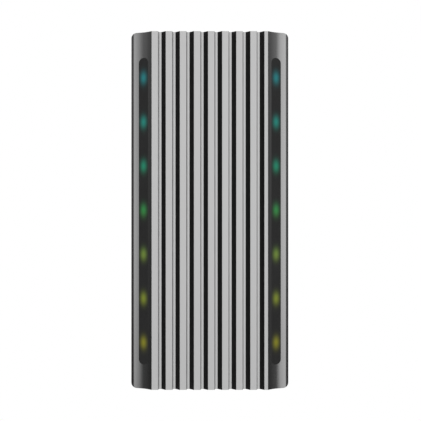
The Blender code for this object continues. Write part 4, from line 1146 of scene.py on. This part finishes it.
def make_port_block():
    """Housing of two data sockets with their rows of contacts, and the ears that hold the door's pin."""
    low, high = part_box("port_block")
    pin_y, pin_z = pin_axis()
    port_low = SEAT - PORT_DROP
    y0, y1 = low.y, low.y + 0.034
    housing = block("port_housing", (low.x, high.x), (y0, y1), (port_low, SEAT))
    ear = [
        (y1 - 0.002, port_low + 0.006),
        (y1 - 0.002, port_low + 0.0004),
        (pin_y - 0.004, pin_z - 0.0032),
        (pin_y + 0.003, pin_z - 0.0032),
        (pin_y + 0.004, pin_z),
        (pin_y + 0.003, pin_z + 0.005),
    ]
    for x in (low.x, high.x - PORT_EAR):
        join(housing, sweep("ear", ear, x, x + PORT_EAR, along_x))
    bore = circle(PIN_BORE, (pin_y, pin_z), 32)
    cut(housing, sweep("pin_hole", bore, low.x - CUT_PAST, high.x + CUT_PAST, along_x))
    width, depth, rise = JACK_SIZE
    middle_x, middle_y = (low.x + high.x) / 2, (y0 + y1) / 2
    rear = middle_y - depth / 2
    wire = [
        (rear + 0.0002, port_low + 0.002),
        (rear + 0.0030, port_low + 0.010),
        (rear + 0.0030, port_low + 0.0107),
        (rear + 0.0002, port_low + 0.0027),
    ]
    for side in (-1, 1):
        x = middle_x + side * JACK_OFFSET
        span_x, span_y = (x - width / 2, x + width / 2), (rear, middle_y + depth / 2)
        cut(housing, block("jack", span_x, span_y, (port_low - CUT_PAST, port_low + rise)))
        latch = (middle_y + depth / 2 - 0.001, middle_y + depth / 2 + 0.0022)
        cut(housing, block("latch", (x - 0.003, x + 0.003), latch, (port_low - CUT_PAST, port_low + 0.007)))
        for i in range(CONTACTS):
            at = x + (i - (CONTACTS - 1) / 2) * CONTACT_PITCH
            contact = sweep(f"jack_contact_{side + 2}_{i + 1}", wire, at - 0.00025, at + 0.00025, along_x)
            dress(contact, "nickel")
    dress(soften(settle(housing), 0.0004, 2), "dark_plastic", stands_for=["port_block"])


def make_port_door_pin():
    low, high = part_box("port_door_pin")
    profile = [(PIN_RADIUS - 0.0003, low.x), (PIN_RADIUS, low.x + 0.0003)]
    profile += [(PIN_RADIUS, high.x - 0.0003), (PIN_RADIUS - 0.0003, high.x)]
    dress(turned("door_pin", profile, pin_axis(), 32, along_x), "nickel", stands_for=["port_door_pin"])


def make_port_door():
    """Flap with five grip grooves near its front edge, on a knuckle round the pin."""
    low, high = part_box("port_door")
    pin_y, pin_z = pin_axis()
    top = SEAT - PORT_DROP - 0.0006
    bottom = top - 0.0024
    leaf_back = pin_y - 0.0075
    web_x = (low.x + PORT_EAR + 0.002, high.x - PORT_EAR - 0.002)
    centre = ((low.x + high.x) / 2, (low.y + leaf_back) / 2)
    leaf = rounded_rectangle(high.x - low.x, leaf_back - low.y, 0.002, 6, centre)
    door = sweep("door_leaf", leaf, bottom, top)
    web = [(leaf_back - 0.003, top), (leaf_back - 0.003, bottom), (pin_y, bottom), (pin_y, top)]
    join(door, sweep("web", web, *web_x, along_x))
    join(door, sweep("knuckle", circle(0.0034, (pin_y, pin_z), 32), *web_x, along_x))
    cut(door, sweep("hole", circle(PIN_BORE, (pin_y, pin_z), 32), low.x, high.x, along_x))
    groove_x, groove_z = (low.x + 0.010, high.x - 0.010), (bottom - CUT_PAST, bottom + 0.0005)
    for i in range(5):
        y = low.y + 0.0035 + 0.0016 * i
        cut(door, block("groove", groove_x, (y, y + 0.0008), groove_z))
    dress(soften(settle(door), 0.0003, 2), "dark_plastic", "port_door", ["port_door"])


# --- Studio -----------------------------------------------------------------------------------

CAMERA_DISTANCE = 2.400
CAMERA_SIDESTEP = 0.0022
LENS_MM = 64.05
FLOOR_Z = -1.0
SENSOR_MM = 36.0
HIGH_AND_LOW_LIGHT = 0.9  # level of the light from well above and from well below
# Light from behind the unit (0) round to the front (1): its level on the left and on the right
STUDIO_LEVELS = (
    (0.00, 1.00, 1.00),
    (0.06, 0.90, 0.90),
    (0.10, 0.12, 0.12),
    (0.47, 0.050, 0.070),
    (0.62, 0.068, 0.090),
    (0.72, 0.090, 0.118),
    (0.838, 0.100, 0.150),
    (0.852, 0.130, 0.200),
    (0.868, 0.330, 0.700),
    (0.890, 0.510, 0.820),
    (0.915, 0.660, 0.880),
    (0.945, 0.860, 0.930),
    (1.00, 1.05, 1.05),
)


def make_camera():
    data = bpy.data.cameras.new("camera")
    data.lens = LENS_MM
    data.sensor_width = SENSOR_MM
    camera = new_object("camera", data)
    camera.location = (CAMERA_SIDESTEP, FRONT - CAMERA_DISTANCE, 0.0)
    camera.rotation_euler = (math.radians(90.0), 0.0, 0.0)
    bpy.context.scene.camera = camera


def make_studio():
    """Seen as plain white, but lighting the unit mostly from in front, from above and from below."""
    world = bpy.data.worlds.new("studio")
    world.use_nodes = True
    bpy.context.scene.world = world
    tree = world.node_tree
    tree.nodes.clear()
    direction = shader_node(tree, "TexCoord").outputs["Generated"]
    split = shader_node(tree, "SeparateXYZ", {0: direction}).outputs
    frontness = math_node(tree, "MULTIPLY_ADD", split["Y"], -0.5, 0.5)
    stops = [[(row[0], grey(row[side])) for row in STUDIO_LEVELS] for side in (1, 2)]
    left, right = (ramp(tree, frontness, half) for half in stops)
    level = mix_colours(tree, remap(tree, split["X"], -0.2, 0.2), left, right)

    # Straight in front it fades downwards; everywhere else it grows steadily with height
    rise = math_node(tree, "EXPONENT", remap(tree, split["Z"], -0.30, 0.30, -0.56, 0.68))
    fall = remap(tree, split["Z"], -0.24, -0.04, 0.83, 1.0)
    is_front = remap(tree, frontness, 0.845, 0.868)
    heights = {0: is_front, 2: rise, 3: fall}
    by_height = shader_node(tree, "Mix", heights, data_type="FLOAT").outputs[0]
    shaped = scale_colour(tree, level, by_height)

    above = remap(tree, split["Z"], 0.27, 0.6)
    below = remap(tree, split["Z"], -0.30, -0.52)
    aside = math_node(tree, "ADD", above, below)
    light = mix_colours(tree, aside, shaped, grey(HIGH_AND_LOW_LIGHT))
    lit = shader_node(tree, "Background", {"Color": light})
    seen = shader_node(tree, "Background", {"Color": (*grey(1.0), 1.0)})
    is_camera = shader_node(tree, "LightPath").outputs["Is Camera Ray"]
    choose = shader_node(tree, "MixShader", {0: is_camera, 1: lit.outputs[0], 2: seen.outputs[0]})
    output = shader_node(tree, "OutputWorld")
    tree.links.new(choose.outputs[0], output.inputs["Surface"])


def make_floor():
    """Pale floor that is clear from underneath, so that the bay can be looked into from below."""
    builder = bmesh.new()
    corners = ((-3.0, -3.2), (3.0, -3.2), (3.0, 0.7), (-3.0, 0.7))
    builder.faces.new([builder.verts.new((x, y, FLOOR_Z)) for x, y in corners])
    mesh = bpy.data.meshes.new("floor")
    builder.to_mesh(mesh)
    builder.free()
    floor = new_object("floor", mesh)
    floor.visible_glossy = False
    made, tree, shader = new_finish("pale_floor", 0.7)
    clouds = use_group(tree, HANDLING, Size=0.8)
    vary_colour(tree, shader, clouds["Mask"], grey(0.78), grey(0.81))
    clear = shader_node(tree, "BsdfTransparent")
    underside = shader_node(tree, "NewGeometry").outputs["Backfacing"]
    ways = {0: underside, 1: shader.outputs[0], 2: clear.outputs[0]}
    choose = shader_node(tree, "MixShader", ways)
    tree.links.new(choose.outputs[0], tree.nodes["Material Output"].inputs["Surface"])
    floor.data.materials.append(made)


def build():
    """Gives the frame's own solids their finishes, then makes every piece and the studio."""
    bpy.context.scene.view_settings.view_transform = "Standard"
    slots = {row["node"]: row["material_slot"] for row in frame["record"]["subparts"]}
    for name, node in frame["nodes"].items():
        node.data.materials.clear()
        node.data.materials.append(FINISHES[slots[name]])
    for index in range(SLAT_COUNT):
        make_slat(index)
    make_carrier()
    for side, hand in ((-1, "left"), (1, "right")):
        make_side_shell(side, hand)
        make_lens(side, hand)
        make_wall_bumper(hand)
    for make in (make_top_panel, make_connection_bay, make_rear_chassis, make_wall_bracket):
        make()
    for which in ("upper", "lower"):
        make_hanger_rail(which)
    make_isolator_base()
    make_isolator_knob()
    for make in (make_button_bezel, make_power_button, make_pressure_vent):
        make()
    make_dc_socket("positive", "orange_plastic")
    make_dc_socket("negative", "dark_plastic")
    for where in ("rear", "front"):
        make_cable_gland(where)
    for make in (make_earth_stud, make_port_block, make_port_door_pin, make_port_door):
        make()
    make_camera()
    make_studio()
    make_floor()


build()
